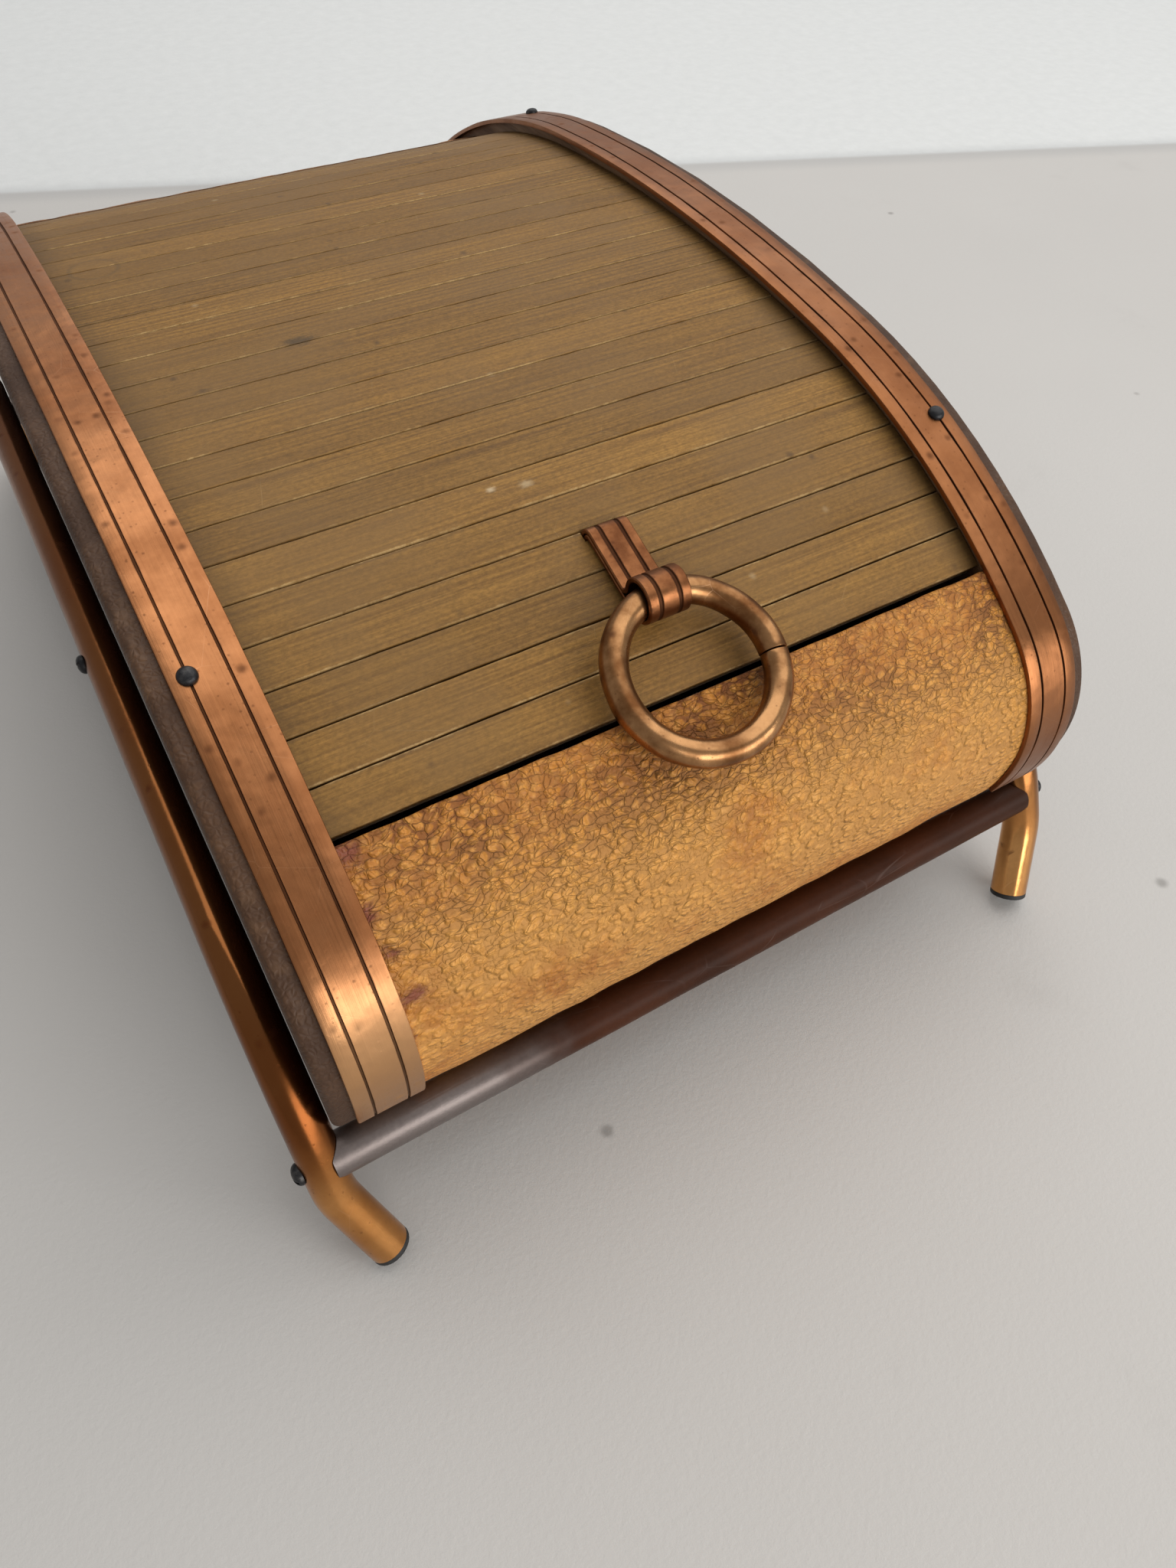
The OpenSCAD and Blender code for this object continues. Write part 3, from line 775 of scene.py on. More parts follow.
def brown_leather():
    material, shader, place = new_material("brown_leather")
    fold, swell = creases(bent_place(place, 300.0, 0.0015), 900.0, 0.2)
    patch = patchy(place, 60.0, 0.35, 0.68)
    # The creases are darkened as painted shade.
    colour = tint(
        mix(patch, (0.048, 0.021, 0.009), (0.085, 0.040, 0.018)),
        (fold, 0.35, (0.045, 0.020, 0.010)),
        (patchy(place, 210.0, 0.55, 0.7), 0.18, (0.200, 0.110, 0.055)),
    )
    normal = relief(swell + cloud(place, 2000.0, 3.0) * 0.3, 0.00009, relief(patch, 0.0003))
    rough = remap(patch, 0.0, 1.0, 0.62, 0.48)
    dress(shader, Base_Color=colour, Roughness=rough, Normal=normal, Specular_IOR_Level=0.3)
    return material


tan_leather, side_leather = golden_leather(), brown_leather()
print("leathers:", tan_leather.name, side_leather.name)

# %% [markdown]
# ## Inside: plain wood and suede
# The panels, the partition and the runners are only seen when the lid is rolled back. They are plain stained wood,
# and their CAD shapes stay as they are. The floor is lined with a dark red suede with a soft, uneven nap.


# %% Plain wood and suede
def plain_wood():
    material, shader, place = new_material("inner_wood")
    streak = cloud(stretched(place, 260.0, 16.0, 260.0), 1.0, 5.0, 0.62, 0.4)
    pores = cloud(stretched(place, 1800.0, 130.0, 1800.0), 1.0, 3.0, 0.7)
    colour = tint(
        mix(remap(streak, 0.3, 0.7), (0.135, 0.066, 0.028), (0.300, 0.165, 0.078)),
        (remap(pores, 0.5, 0.8), 0.5, (0.07, 0.035, 0.016)),
        (patchy(place, 24.0, 0.4, 0.75), 0.35, (0.11, 0.055, 0.026)),
    )
    rough = remap(streak, 0.3, 0.7, 0.62, 0.5)
    dress(shader, Base_Color=colour, Roughness=rough, Normal=relief(streak - pores, 0.00015))
    return material


def red_suede():
    material, shader, place = new_material("red_suede")
    nap = cloud(place, 1500.0, 4.0, 0.75)
    colour = mix(patchy(place, 55.0, 0.40, 0.62), (0.095, 0.020, 0.016), (0.165, 0.040, 0.030))
    colour = shaded(colour, 0.5, nap, (0.4, 0.4, 0.4), (1.6, 1.6, 1.6))
    normal = relief(nap, 0.00025)
    dress(shader, Base_Color=colour, Roughness=0.95, Normal=normal, Sheen_Weight=0.5, Sheen_Roughness=0.4)
    return material


inner_wood, suede = plain_wood(), red_suede()
WOODEN = ["side_panel_left", "side_panel_right", "front_panel", "rear_panel", "bottom_board"]
WOODEN += ["rear_partition", "runner_left", "runner_right"]
for node in WOODEN:
    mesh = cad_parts[node].data
    mesh.materials.clear()
    mesh.materials.append(inner_wood)
print("plain wood on", len(WOODEN), "CAD nodes")

# %% [markdown]
# ## Copper edging
# Each rim is one strip of copper, bent over the side panel's edge and down round both noses. Two lines are engraved
# along it. A cross-section with rounded edges and two shallow grooves is swept along the whole outline, so that the
# grooves are real and catch the light at the noses.

# %% Edging strips
EDGING_END = 108.0
EDGING_INNER, EDGING_OUTER = 65.0, 77.0
EDGING_THICKNESS = CROWN_TOP - box_in_mm("side_panel_left")[1].z
LINE_PLACES, LINE_HALF, LINE_FLOOR, LINE_DEPTH, FLAT_UP_TO = (68.0, 74.0), 0.25, 0.14, 0.35, 0.6


def edging_section():
    """(x, depth) of half the strip's cross-section, from its inner rim to its outer rim."""
    round_off = 0.28
    face = [(EDGING_INNER, round_off), (EDGING_INNER + 0.08, 0.08), (EDGING_INNER + round_off, 0.0)]
    for line in LINE_PLACES:
        face += [(line - FLAT_UP_TO, 0.0), (line - LINE_HALF, 0.0), (line - LINE_FLOOR, LINE_DEPTH)]
        face += [(line + LINE_FLOOR, LINE_DEPTH), (line + LINE_HALF, 0.0), (line + FLAT_UP_TO, 0.0)]
    face += [(EDGING_OUTER - round_off, 0.0), (EDGING_OUTER - 0.08, 0.08), (EDGING_OUTER, round_off)]
    return face + [(EDGING_OUTER, EDGING_THICKNESS), (EDGING_INNER, EDGING_THICKNESS)]


def edging(side):
    bm = bmesh.new()
    points = [on_outline(-EDGING_END, depth, SIDES[side] * x) for x, depth in edging_section()]
    first = ring_of(bm, points)
    last = sweep(bm, first, -EDGING_END, EDGING_END, 1.5)
    close_ring(bm, first)
    close_ring(bm, last)
    rough_up(bm, 0.10, 9.0, SIDES[side] * 3.1)
    unroll(bm, lambda place: (place.x, along_outline(place)))
    name = f"edging_{side}"
    finish_piece(bm, f"{name}_copper", rim_copper, "box", name, slot="bright_copper", sharp=34.0)


for side in SIDES:
    edging(side)

# %% [markdown]
# ## Domed nails
# Two black nails hold each strip, one at each shoulder. A nail's head is a low dome with a rounded rim, so a quarter
# profile is spun once round the nail's own axis and then set on the outline.

# %% Nails
NAIL_SLOPE, NAIL_X, NAIL_R, NAIL_H = 17.8, 74.0, 1.65, 1.2
DOME_STEPS, DOME_SIDES, DOME_FOOT = 7, 28, -0.3


def dome(bm, radius, height, place, tilt):
    """A closed dome whose flat side sits at place and whose axis is tilt's Z."""
    profile = [Vector((0, 0, DOME_FOOT)), Vector((radius * 0.96, 0, DOME_FOOT)), Vector((radius, 0, height * 0.12))]
    for step in range(1, DOME_STEPS):
        angle = math.pi / 2 * step / DOME_STEPS
        profile.append(Vector((radius * math.cos(angle) ** 0.9, 0, height * (0.12 + 0.88 * math.sin(angle)))))
    profile.append(Vector((0, 0, height)))
    before = set(bm.verts)
    line = ring_of(bm, profile, closed=False)
    spun = {"cent": (0, 0, 0), "axis": (0, 0, 1), "angle": math.tau, "steps": DOME_SIDES, "use_merge": True}
    bmesh.ops.spin(bm, geom=line, use_duplicate=False, **spun)
    bmesh.ops.remove_doubles(bm, verts=[vert for vert in bm.verts if vert not in before], dist=0.002)
    made = [vert for vert in bm.verts if vert not in before]
    bmesh.ops.transform(bm, matrix=Matrix.Translation(place) @ tilt, verts=made)


def nails(side):
    bm = bmesh.new()
    for slope in (-NAIL_SLOPE, NAIL_SLOPE):
        tilt = Matrix.Rotation(math.radians(-slope), 4, "X")
        dome(bm, NAIL_R, NAIL_H, on_outline(slope, 0.0, SIDES[side] * NAIL_X), tilt)
    finish_piece(bm, f"edging_{side}_nails", black_steel, "box", f"edging_nails_{side}", slot="dark_steel")


for side in SIDES:
    nails(side)

# %% [markdown]
# ## Slats
# Each slat is a thin stick with a flat face, softly rounded edges and flanks that narrow towards the cloth, so that
# the lid can bend. The cross-section is set in place and tilted as the CAD slat's own end is, and carried across the
# box in short steps.
# Every vertex is then moved a little, more so along the edges, because the real slats are worn and not quite even.

# %% Slats
SLAT_HALF_WIDTH, SLAT_THICKNESS = 4.0, 3.5
CLOTH_HALF_WIDTH, CLOTH_THICKNESS = 3.95, 0.25
SLAT_STEPS, SLAT_COUNT, GRAIN_SHIFT = 46, 28, 37.0
WORN_FROM, CLOTH_TO = 2.5, 0.04
SWAY, CHIP_DEPTH, CHIP_WIDTH = 0.05, 0.10, 0.12
NOTCH_HALF_WIDTH, NOTCH_DEPTH = 4.2, 1.95
TONGUE_END = 3.925
STRAP_SLAT = "slat_04"


def slat_frame(node):
    """Matrix of a slat: +Y runs along the lid to the rear and +Z out of its face, from the middle of its cloth."""
    low, high = box_in_mm(node)
    places = [[value / MM for value in vert.co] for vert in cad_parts[node].data.vertices]
    points = np.array(sorted({(round(y, 3), round(z, 3)) for x, y, z in places if x > high.x - 0.01}))
    middle = points.mean(axis=0)
    arms = points - middle
    longest = np.linalg.eigh(arms.T @ arms)[1][:, -1]
    out = Vector((0, -longest[1], longest[0]))
    heights = arms @ np.array([out.y, out.z])
    if heights.max() > -heights.min():
        out, heights = -out, -heights
    foot = Vector((0, *middle)) + out * heights.min()
    along = out.cross(Vector((1, 0, 0)))
    turned = Matrix((Vector((1, 0, 0)), along, out)).transposed().to_4x4()
    return Matrix.Translation(foot) @ turned


def slat_section():
    """(along, height) of a slat's cross-section, with the cloth's edge below it."""
    round_off, steps = 0.16, 2
    half = []
    for step in range(steps + 1):
        angle = math.pi / 2 * step / steps
        place = SLAT_HALF_WIDTH - round_off * (1 - math.cos(angle))
        half.append((place, SLAT_THICKNESS - round_off * (1 - math.sin(angle))))
    right = [(CLOTH_HALF_WIDTH, -CLOTH_THICKNESS), (CLOTH_HALF_WIDTH, 0.0), (3.525, 0.05), (SLAT_HALF_WIDTH, 2.2)]
    right += [*half, (SLAT_HALF_WIDTH - 0.45, SLAT_THICKNESS), (1.3, SLAT_THICKNESS + 0.02)]
    return right + [(-along, height) for along, height in reversed(right)]


def slat(number):
    node = f"slat_{number:02d}"
    matrix = slat_frame(node)
    half_length = box_in_mm(node)[1].x
    notch = (NOTCH_HALF_WIDTH, NOTCH_HALF_WIDTH + 0.1)
    stops = sorted([*np.linspace(-half_length, half_length, SLAT_STEPS), *notch, *(-stop for stop in notch)])
    bm = bmesh.new()
    ring = ring_of(bm, [(stops[0], along, height) for along, height in slat_section()])
    close_ring(bm, ring)
    for here, there in zip(stops, stops[1:]):
        ring = pull(bm, ring, (there - here, 0, 0))
    close_ring(bm, ring)
    tone = bm.verts.layers.float.new("tone")
    cloth = bm.verts.layers.float.new("cloth")
    own_tone = 0.5 + 0.5 * math.sin(number * 2.4) * math.cos(number * 5.3)
    for vert in bm.verts:
        x, along, height = vert.co
        vert[tone] = own_tone
        vert[cloth] = float(height < CLOTH_TO)
        if height > WORN_FROM:
            worn = abs(along) / SLAT_HALF_WIDTH
            sway = noise.noise(Vector((x / 26, along / 30, number * 3.3)))
            chip = noise.noise(Vector((x / 2.6, number * 7.7, along)))
            vert.co.z += SWAY * sway - CHIP_DEPTH * worn**6 * max(chip, 0.0)
            vert.co.y -= math.copysign(CHIP_WIDTH * worn**6 * max(chip, 0.0), along)
    unroll(bm, lambda place: (place.x + number * GRAIN_SHIFT, place.y))
    if node == STRAP_SLAT:
        for vert in bm.verts:
            if abs(vert.co.x) < NOTCH_HALF_WIDTH + 0.05:
                vert.co.y = min(vert.co.y, NOTCH_DEPTH)
    bmesh.ops.transform(bm, matrix=matrix, verts=bm.verts)
    finish_piece(bm, f"{node}_wood", slat_wood, node, node, slot="olive_wood", sharp=40.0)


for number in range(1, SLAT_COUNT + 1):
    slat(number)

# %% [markdown]
# ## Leather round the box
# One hide covers the front nose, the underside and the rear nose, and turns in over both lips. It is a single line
# of vertices across the box, carried the whole way round: over the front lip, down the nose, flat under the bottom,
# up the rear nose and over the rear lip. Solidify then gives it its thickness inwards.

# %% Leather
LEATHER_HALF, LEATHER_DEPTH, LIP_RADIUS = 66.9, 1.1, 1.05
LEATHER_SKIN, LEATHER_STEPS, UNDERSIDE_STEPS = 0.8, 68, 90
SKIVED_SLOPE, SKIVED_DEPTH = 5.0, 1.5


def edge_slope(node):
    """Slope at which a panel's upper edge lies, from the highest point of its box."""
    top = box_in_mm(node)[1].z
    return next(float(slope) for slope in np.linspace(20.0, 40.0, 4001) if on_outline(slope, LEATHER_DEPTH).z < top)


def leather_wrap():
    set_back = math.degrees(LIP_RADIUS / SHOULDER_R)
    front, rear = edge_slope("front_leather") + set_back, edge_slope("rear_leather") + set_back
    bm = bmesh.new()
    inward = (1, 0, 0)
    start = on_outline(-front, LEATHER_DEPTH + 2 * LIP_RADIUS)
    xs = [-LEATHER_HALF + 2 * LEATHER_HALF * i / LEATHER_STEPS for i in range(LEATHER_STEPS + 1)]
    line = ring_of(bm, [(x, start.y, start.z) for x in xs], closed=False)
    line = turn(bm, line, on_outline(-front, LEATHER_DEPTH + LIP_RADIUS), inward, 180.0, 7)
    line = sweep(bm, line, -front, -BELLY_END, 3.0)
    line = pull(bm, line, (0, 2 * BELLY_C.y, 0), UNDERSIDE_STEPS)
    line = sweep(bm, line, BELLY_END, rear, 3.0)
    turn(bm, line, on_outline(rear, LEATHER_DEPTH + LIP_RADIUS), inward, 180.0, 7)
    bmesh.ops.remove_doubles(bm, verts=bm.verts, dist=0.001)
    unroll(bm, lambda place: (place.x, along_outline(place)))
    bm.normal_update()
    lowest = min(bm.faces, key=lambda face: face.calc_center_median().z)
    if lowest.normal.z > 0:
        bmesh.ops.reverse_faces(bm, faces=bm.faces)
    for vert in bm.verts:
        skived = (rear + SKIVED_SLOPE - slope_of(vert.co)) / SKIVED_SLOPE
        if vert.co.y > 0 and 0 < skived:
            share = min(skived, 1.0)
            vert.co -= beyond(Vector(), SKIVED_DEPTH * share * share * (3 - 2 * share), rear)
    rough_up(bm, 0.30, 7.0, 5.2, lambda vert: abs(vert.co.x) < LEATHER_HALF - 0.4)
    hides = ("front_leather", "bottom_leather", "rear_leather")
    finish = {"slot": "tan_leather", "sharp": 60.0, "turned_out": False}
    piece = finish_piece(bm, "leather_wrap", tan_leather, "box", *hides, **finish)
    skin = piece.modifiers.new("skin", "SOLIDIFY")
    skin.thickness, skin.offset = LEATHER_SKIN * MM, -1.0
    return front, rear


front_lip, rear_lip = leather_wrap()
print("lips at slopes", round(front_lip, 2), round(rear_lip, 2))

# %% [markdown]
# ## Leather-covered side boards
# A thin board covered in dark brown leather lies on each side panel, and its rounded rim shows as a band beside the
# copper. One vertex is swept round the outline to draw it, the ring is filled, extruded to the board's thickness,
# and the outer rim is bevelled round.

# %% Side covers
COVER_INNER, COVER_OUTER = 77.0, box_in_mm("side_leather_right")[1].x
COVER_ROUND, COVER_INSET = 1.6, 9.0


def side_cover(side):
    bm = bmesh.new()
    first = bm.verts.new(on_outline(-BELLY_END, LEATHER_DEPTH, COVER_INNER))
    last = sweep(bm, [first], -BELLY_END, BELLY_END, 3.0)
    bm.edges.new((first, *verts_in(last)))
    bmesh.ops.remove_doubles(bm, verts=bm.verts, dist=0.001)
    bmesh.ops.contextual_create(bm, geom=bm.edges[:])
    raised = raise_faces(bm)
    bmesh.ops.translate(bm, vec=(COVER_OUTER - COVER_INNER, 0, 0), verts=raised)
    rim = [edge for edge in bm.edges if all(vert in raised for vert in edge.verts)]
    bmesh.ops.bevel(bm, geom=rim, offset=COVER_ROUND, segments=5, **ROUND_EDGES)
    outer = [face for face in bm.faces if face.calc_center_median().x > COVER_OUTER - 0.01 and len(face.verts) > 8]
    bmesh.ops.inset_region(bm, faces=outer, thickness=COVER_INSET, depth=0.0)
    to_side(bm, side)
    finish_piece(
        bm, f"side_cover_{side}", side_leather, "box", f"side_leather_{side}", slot="grey_leather", sharp=30.0
    )


for side in SIDES:
    side_cover(side)

# %% [markdown]
# ## Copper tubes
# Each side has one tube: a straight rail along the box, bent down round each nose, and turned in towards the foot.
# Half of a tube is a circle carried along rail, bend, leg and toe, and the other half is its mirror image. The places
# of the bends come from the boxes of the crossbar and of the tube itself.

# %% Tubes
TUBE_R, BEND_R, TOE_R, TOE_TURN, TOE_START = 4.0, 46.0, 20.0, 16.0, 5.0
bar_low, bar_high = box_in_mm("crossbar_rear")
BAR_Y, BAR_Z = (bar_low.y + bar_high.y) / 2, (bar_low.z + bar_high.z) / 2
BAR_R = (bar_high.z - bar_low.z) / 2
TUBE_X, RAIL_Z = box_in_mm("tube_frame_right")[1].x - TUBE_R, 49.0
LEG_TURN = math.degrees(math.acos(1 - (RAIL_Z - BAR_Z) / BEND_R))
RAIL_HALF = BAR_Y - BEND_R * math.sin(math.radians(LEG_TURN))
PLUG_THICKNESS = 1.2


def turned_about(axis, degrees):
    return Matrix.Rotation(math.radians(degrees), 4, axis)


BEND_PLACE = Matrix.Translation((TUBE_X, RAIL_HALF, RAIL_Z - BEND_R))
LEG_PLACE = BEND_PLACE @ turned_about("X", -LEG_TURN) @ Matrix.Translation((0, 0, BEND_R)) @ turned_about("X", -90)
toe_shift = (TOE_R * (math.cos(math.radians(TOE_TURN)) - 1), 0, TOE_START + TOE_R * math.sin(math.radians(TOE_TURN)))
TOE_PLACE = LEG_PLACE @ Matrix.Translation(toe_shift) @ turned_about("Y", -TOE_TURN)
TOE_DIRECTION = (TOE_PLACE.to_3x3() @ Vector((0, 0, 1))).normalized()
foot_reach = TUBE_R * math.sqrt(1 - TOE_DIRECTION.z**2)
LEG_LENGTH = (TOE_PLACE.translation.z - foot_reach) / -TOE_DIRECTION.z


def circle_points(centre, first, second, radius, count):
    """Points of a circle, from its centre and two directions square to each other."""
    angles = [math.tau * i / count for i in range(count)]
    return [centre + (first * math.cos(a) + second * math.sin(a)) * radius for a in angles]


def tube(side):
    bm = bmesh.new()
    start = Vector((TUBE_X, 0, RAIL_Z))
    ring = ring_of(bm, circle_points(start, Vector((1, 0, 0)), Vector((0, 0, 1)), TUBE_R, 32))
    ring = pull(bm, ring, (0, RAIL_HALF, 0), 24)
    ring = turn(bm, ring, BEND_PLACE.translation, (-1, 0, 0), LEG_TURN, 24)
    leg = LEG_PLACE.to_3x3()
    ring = pull(bm, ring, leg @ Vector((0, 0, TOE_START)), 3)
    ring = turn(bm, ring, LEG_PLACE @ Vector((-TOE_R, 0, TOE_START)), leg @ Vector((0, -1, 0)), TOE_TURN, 6)
    ring = pull(bm, ring, TOE_DIRECTION * (LEG_LENGTH - PLUG_THICKNESS), 4)
    close_ring(bm, ring)
    bmesh.ops.mirror(bm, geom=bm.verts[:] + bm.edges[:] + bm.faces[:], merge_dist=0.01, axis="Y")
    bmesh.ops.remove_doubles(bm, verts=bm.verts, dist=0.01)
    to_side(bm, side)
    bmesh.ops.recalc_face_normals(bm, faces=bm.faces)
    rough_up(bm, 0.05, 18.0, SIDES[side] * 2.3)
    finish_piece(bm, f"tube_{side}", tube_copper, "box", f"tube_frame_{side}", slot="red_copper", sharp=50.0)


for side in SIDES:
    tube(side)
print("leg turn", round(LEG_TURN, 2), "rail half", round(RAIL_HALF, 2), "leg length", round(LEG_LENGTH, 2))

# %% [markdown]
# ## Crossbars and plugs
# A crossbar runs across the box under each nose. Its ends are cut hollow, to sit against the tubes: each vertex of an
# end ring is moved to where the tube's surface is at that height. The plugs are short, bevelled discs.

# %% Crossbars
BAR_SIDES, BAR_STRAIGHT_HALF, BAR_END, HOLLOW_HALF, HOLLOW_GAP = 40, 70.0, 8.0, 3.6, 0.02


def crossbar(name, sign):
    bm = bmesh.new()
    centre = Vector((-BAR_STRAIGHT_HALF, sign * BAR_Y, BAR_Z))
    ring = ring_of(bm, circle_points(centre, Vector((0, 1, 0)), Vector((0, 0, 1)), BAR_R, BAR_SIDES))
    middle = pull(bm, ring, (2 * BAR_STRAIGHT_HALF, 0, 0), 56)
    across_leg = Vector((0, sign * -TOE_DIRECTION.z, abs(TOE_DIRECTION.y))).normalized()
    for end, outwards in ((ring, -1), (middle, 1)):
        last = pull(bm, end, (outwards * BAR_END, 0, 0), 3)
        for vert in verts_in(last):
            aside = (vert.co - Vector((vert.co.x, sign * BAR_Y, BAR_Z))).dot(across_leg)
            aside = min(abs(aside), HOLLOW_HALF)
            vert.co.x = outwards * (TUBE_X - math.sqrt(TUBE_R**2 - aside**2) - HOLLOW_GAP)
        close_ring(bm, last)
    rough_up(bm, 0.08, 16.0, sign)
    finish_piece(bm, f"{name}_lacquer", maroon_lacquer, "box", name, slot="red_copper", sharp=50.0)


for name, sign in (("crossbar_front", -1), ("crossbar_rear", 1)):
    crossbar(name, sign)


# %% Plugs
def plugs():
    bm = bmesh.new()
    disc = {"cap_ends": True, "segments": 32, "radius1": TUBE_R, "radius2": TUBE_R, "depth": PLUG_THICKNESS}
    at_foot = TOE_PLACE @ Matrix.Translation((0, 0, LEG_LENGTH - PLUG_THICKNESS / 2))
    for x_sign, y_sign in ((-1, -1), (-1, 1), (1, -1), (1, 1)):
        before = set(bm.verts)
        bmesh.ops.create_cone(bm, **disc)
        made = [edge for edge in bm.edges if edge.verts[0] not in before]
        rims = [edge for edge in made if edge.calc_face_angle(0.0) > 1.0]
        bmesh.ops.bevel(bm, geom=rims, offset=0.25, segments=2, **ROUND_EDGES)
        verts = [vert for vert in bm.verts if vert not in before]
        bmesh.ops.transform(bm, matrix=Matrix.Diagonal((x_sign, y_sign, 1, 1)) @ at_foot, verts=verts)
    finish_piece(bm, "foot_plugs_rubber", black_rubber, "box", "foot_plugs", slot="black_rubber", sharp=40.0)


plugs()

# %% [markdown]
# ## Slotted screws
# A round-headed screw goes through each tube into the box at the rail, and into each crossbar. Its head is the nails'
# dome, bigger and taller. Two parallel cuts with bisect_plane mark the slot, and the faces between them are sunk.

# %% Screws
SCREW_R, SCREW_H, SLOT_HALF, SLOT_FLOOR = 2.1, 1.5, 0.34, 0.75
RAIL_SCREW_Y = -16.0
SCREWS = [((RAIL_SCREW_Y, RAIL_Z), 30.0), ((-BAR_Y, BAR_Z), 75.0), ((BAR_Y, BAR_Z), 10.0)]


def slotted_head():
    bm = bmesh.new()
    dome(bm, SCREW_R, SCREW_H, Vector((0, 0, 0)), Matrix.Identity(4))
    for side in (-1, 1):
        geom = bm.verts[:] + bm.edges[:] + bm.faces[:]
        bmesh.ops.bisect_plane(bm, geom=geom, plane_co=(0, side * SLOT_HALF, 0), plane_no=(0, 1, 0))
    middles = {face: face.calc_center_median() for face in bm.faces}
    between = [face for face, middle in middles.items() if abs(middle.y) < SLOT_HALF - 0.01 and middle.z > 0.05]
    sunk = bmesh.ops.extrude_face_region(bm, geom=between)["geom"]
    bmesh.ops.delete(bm, geom=between, context="FACES")
    for vert in verts_in(sunk):
        vert.co.z = min(vert.co.z, SLOT_FLOOR) - 0.02
    bmesh.ops.recalc_face_normals(bm, faces=bm.faces)
    return bm


def screws(side):
    bm = bmesh.new()
    for (y, z), slot_turn in SCREWS:
        head = slotted_head()
        place = Matrix.Translation((TUBE_X + TUBE_R - 0.1, y, z)) @ turned_about("Y", 90)
        bmesh.ops.transform(head, matrix=place @ turned_about("Z", slot_turn), verts=head.verts)
        passed = bpy.data.meshes.new("screw_head")
        head.to_mesh(passed)
        head.free()
        bm.from_mesh(passed)
        bpy.data.meshes.remove(passed)
    to_side(bm, side)
    name = f"frame_screws_{side}"
    finish_piece(bm, f"{name}_steel", black_steel, "box", name, slot="dark_steel", sharp=40.0)


for side in SIDES:
    screws(side)

# %% [markdown]
# ## Pull strap
# The strap is a grooved copper strip, doubled. It comes up through a slot behind the fourth slat, lies flat towards
# the front, makes an eye round the ring, comes back over itself and goes down the same slot. It is one cross-section
# carried along that path in the slat's own frame, where Y runs along the lid and Z out of its face.

# %% Strap
STRAP_HALF, STRAP_THICKNESS, STRAP_LIFT, STRAP_SLIT = 4.1, 0.85, 0.6, 0.15
GROOVES, GROOVE_HALF, FLOOR_HALF, GROOVE_DEPTH = (-1.9, 1.9), 0.42, 0.22, 0.22
WIRE_R, RING_R, EYE_SLACK, EYE_REACH, RING_LEAN = 2.5, 14.5, 0.8, 14.3, 7.5
TONGUE_Y = TONGUE_END - 2 * STRAP_THICKNESS - STRAP_SLIT
EYE_Z = SLAT_THICKNESS + STRAP_LIFT + STRAP_THICKNESS + WIRE_R + EYE_SLACK


def strap_section():
    """(x, offset) of the strip's cross-section. Two shallow grooves leave three ridges on its outer face."""
    half = STRAP_THICKNESS / 2
    face = [(-STRAP_HALF, half - 0.2), (-STRAP_HALF + 0.2, half)]
    for line in GROOVES:
        face += [(line - GROOVE_HALF, half), (line - FLOOR_HALF, half - GROOVE_DEPTH)]
        face += [(line + FLOOR_HALF, half - GROOVE_DEPTH), (line + GROOVE_HALF, half)]
    face += [(STRAP_HALF - 0.2, half), (STRAP_HALF, half - 0.2)]
    back = [(STRAP_HALF, 0.15 - half), (STRAP_HALF - 0.15, -half)]
    return face + back + [(-x, offset) for x, offset in reversed(back)]


def pull_strap():
    lower = SLAT_THICKNESS + STRAP_LIFT + STRAP_THICKNESS / 2
    upper = lower + STRAP_THICKNESS + STRAP_SLIT
    inner_bend, back_bend, foot_z = STRAP_THICKNESS, 1.2, 1.3
    tuck = Vector((0, TONGUE_Y + STRAP_THICKNESS / 2 - inner_bend, lower - inner_bend))
    eye = Vector((0, -EYE_REACH, EYE_Z))
    eye_middle = WIRE_R + EYE_SLACK + STRAP_THICKNESS / 2
    drop = eye.z - upper
    steep = math.degrees(math.asin((drop - back_bend) / (eye_middle + back_bend)))
    eye_turn, back_turn = 270.0 + steep, 90.0 + steep
    reach = eye_middle + back_bend
    back = eye + Vector((0, reach * math.cos(math.radians(steep)), -reach * math.sin(math.radians(steep))))
    bm = bmesh.new()
    start_y = TONGUE_Y + STRAP_THICKNESS / 2
    ring = ring_of(bm, [(x, start_y - offset, foot_z) for x, offset in strap_section()])
    close_ring(bm, ring)
    ring = pull(bm, ring, (0, 0, tuck.z - foot_z), 2)
    ring = turn(bm, ring, tuck, (1, 0, 0), 90.0, 6)
    ring = pull(bm, ring, (0, eye.y - tuck.y, 0), 10)
    ring = turn(bm, ring, eye, (-1, 0, 0), eye_turn, 44)
    ring = turn(bm, ring, back, (1, 0, 0), back_turn, 14)
    ring = pull(bm, ring, (0, tuck.y - back.y, 0), 8)
    ring = turn(bm, ring, tuck, (-1, 0, 0), 90.0, 8)
    ring = pull(bm, ring, (0, 0, foot_z - tuck.z), 2)
    close_ring(bm, ring)
    unroll(bm, lambda place: (place.x, place.y + place.z))
    bmesh.ops.recalc_face_normals(bm, faces=bm.faces)
    rough_up(bm, 0.07, 4.0, 1.1)
    bmesh.ops.transform(bm, matrix=slat_frame(STRAP_SLAT), verts=bm.verts)
    print("eye turn", round(eye_turn, 1), "back turn", round(back_turn, 1))
    finish_piece(bm, "pull_strap_copper", strap_copper, STRAP_SLAT, "pull_strap", slot="bright_copper", sharp=40.0)


pull_strap()

# %% [markdown]
# ## Pull ring
# The ring is a thick copper wire bent round until its ends meet, and the butt joint shows as a fine dark gap. So the
# wire's circle isn't spun a full turn: it stops short by less than a degree, and both ends are closed and bevelled.

# %% Ring
SEAM_GAP, SEAM_PLACE, WIRE_SIDES, RING_STEPS = 0.9, -8.0, 28, 96


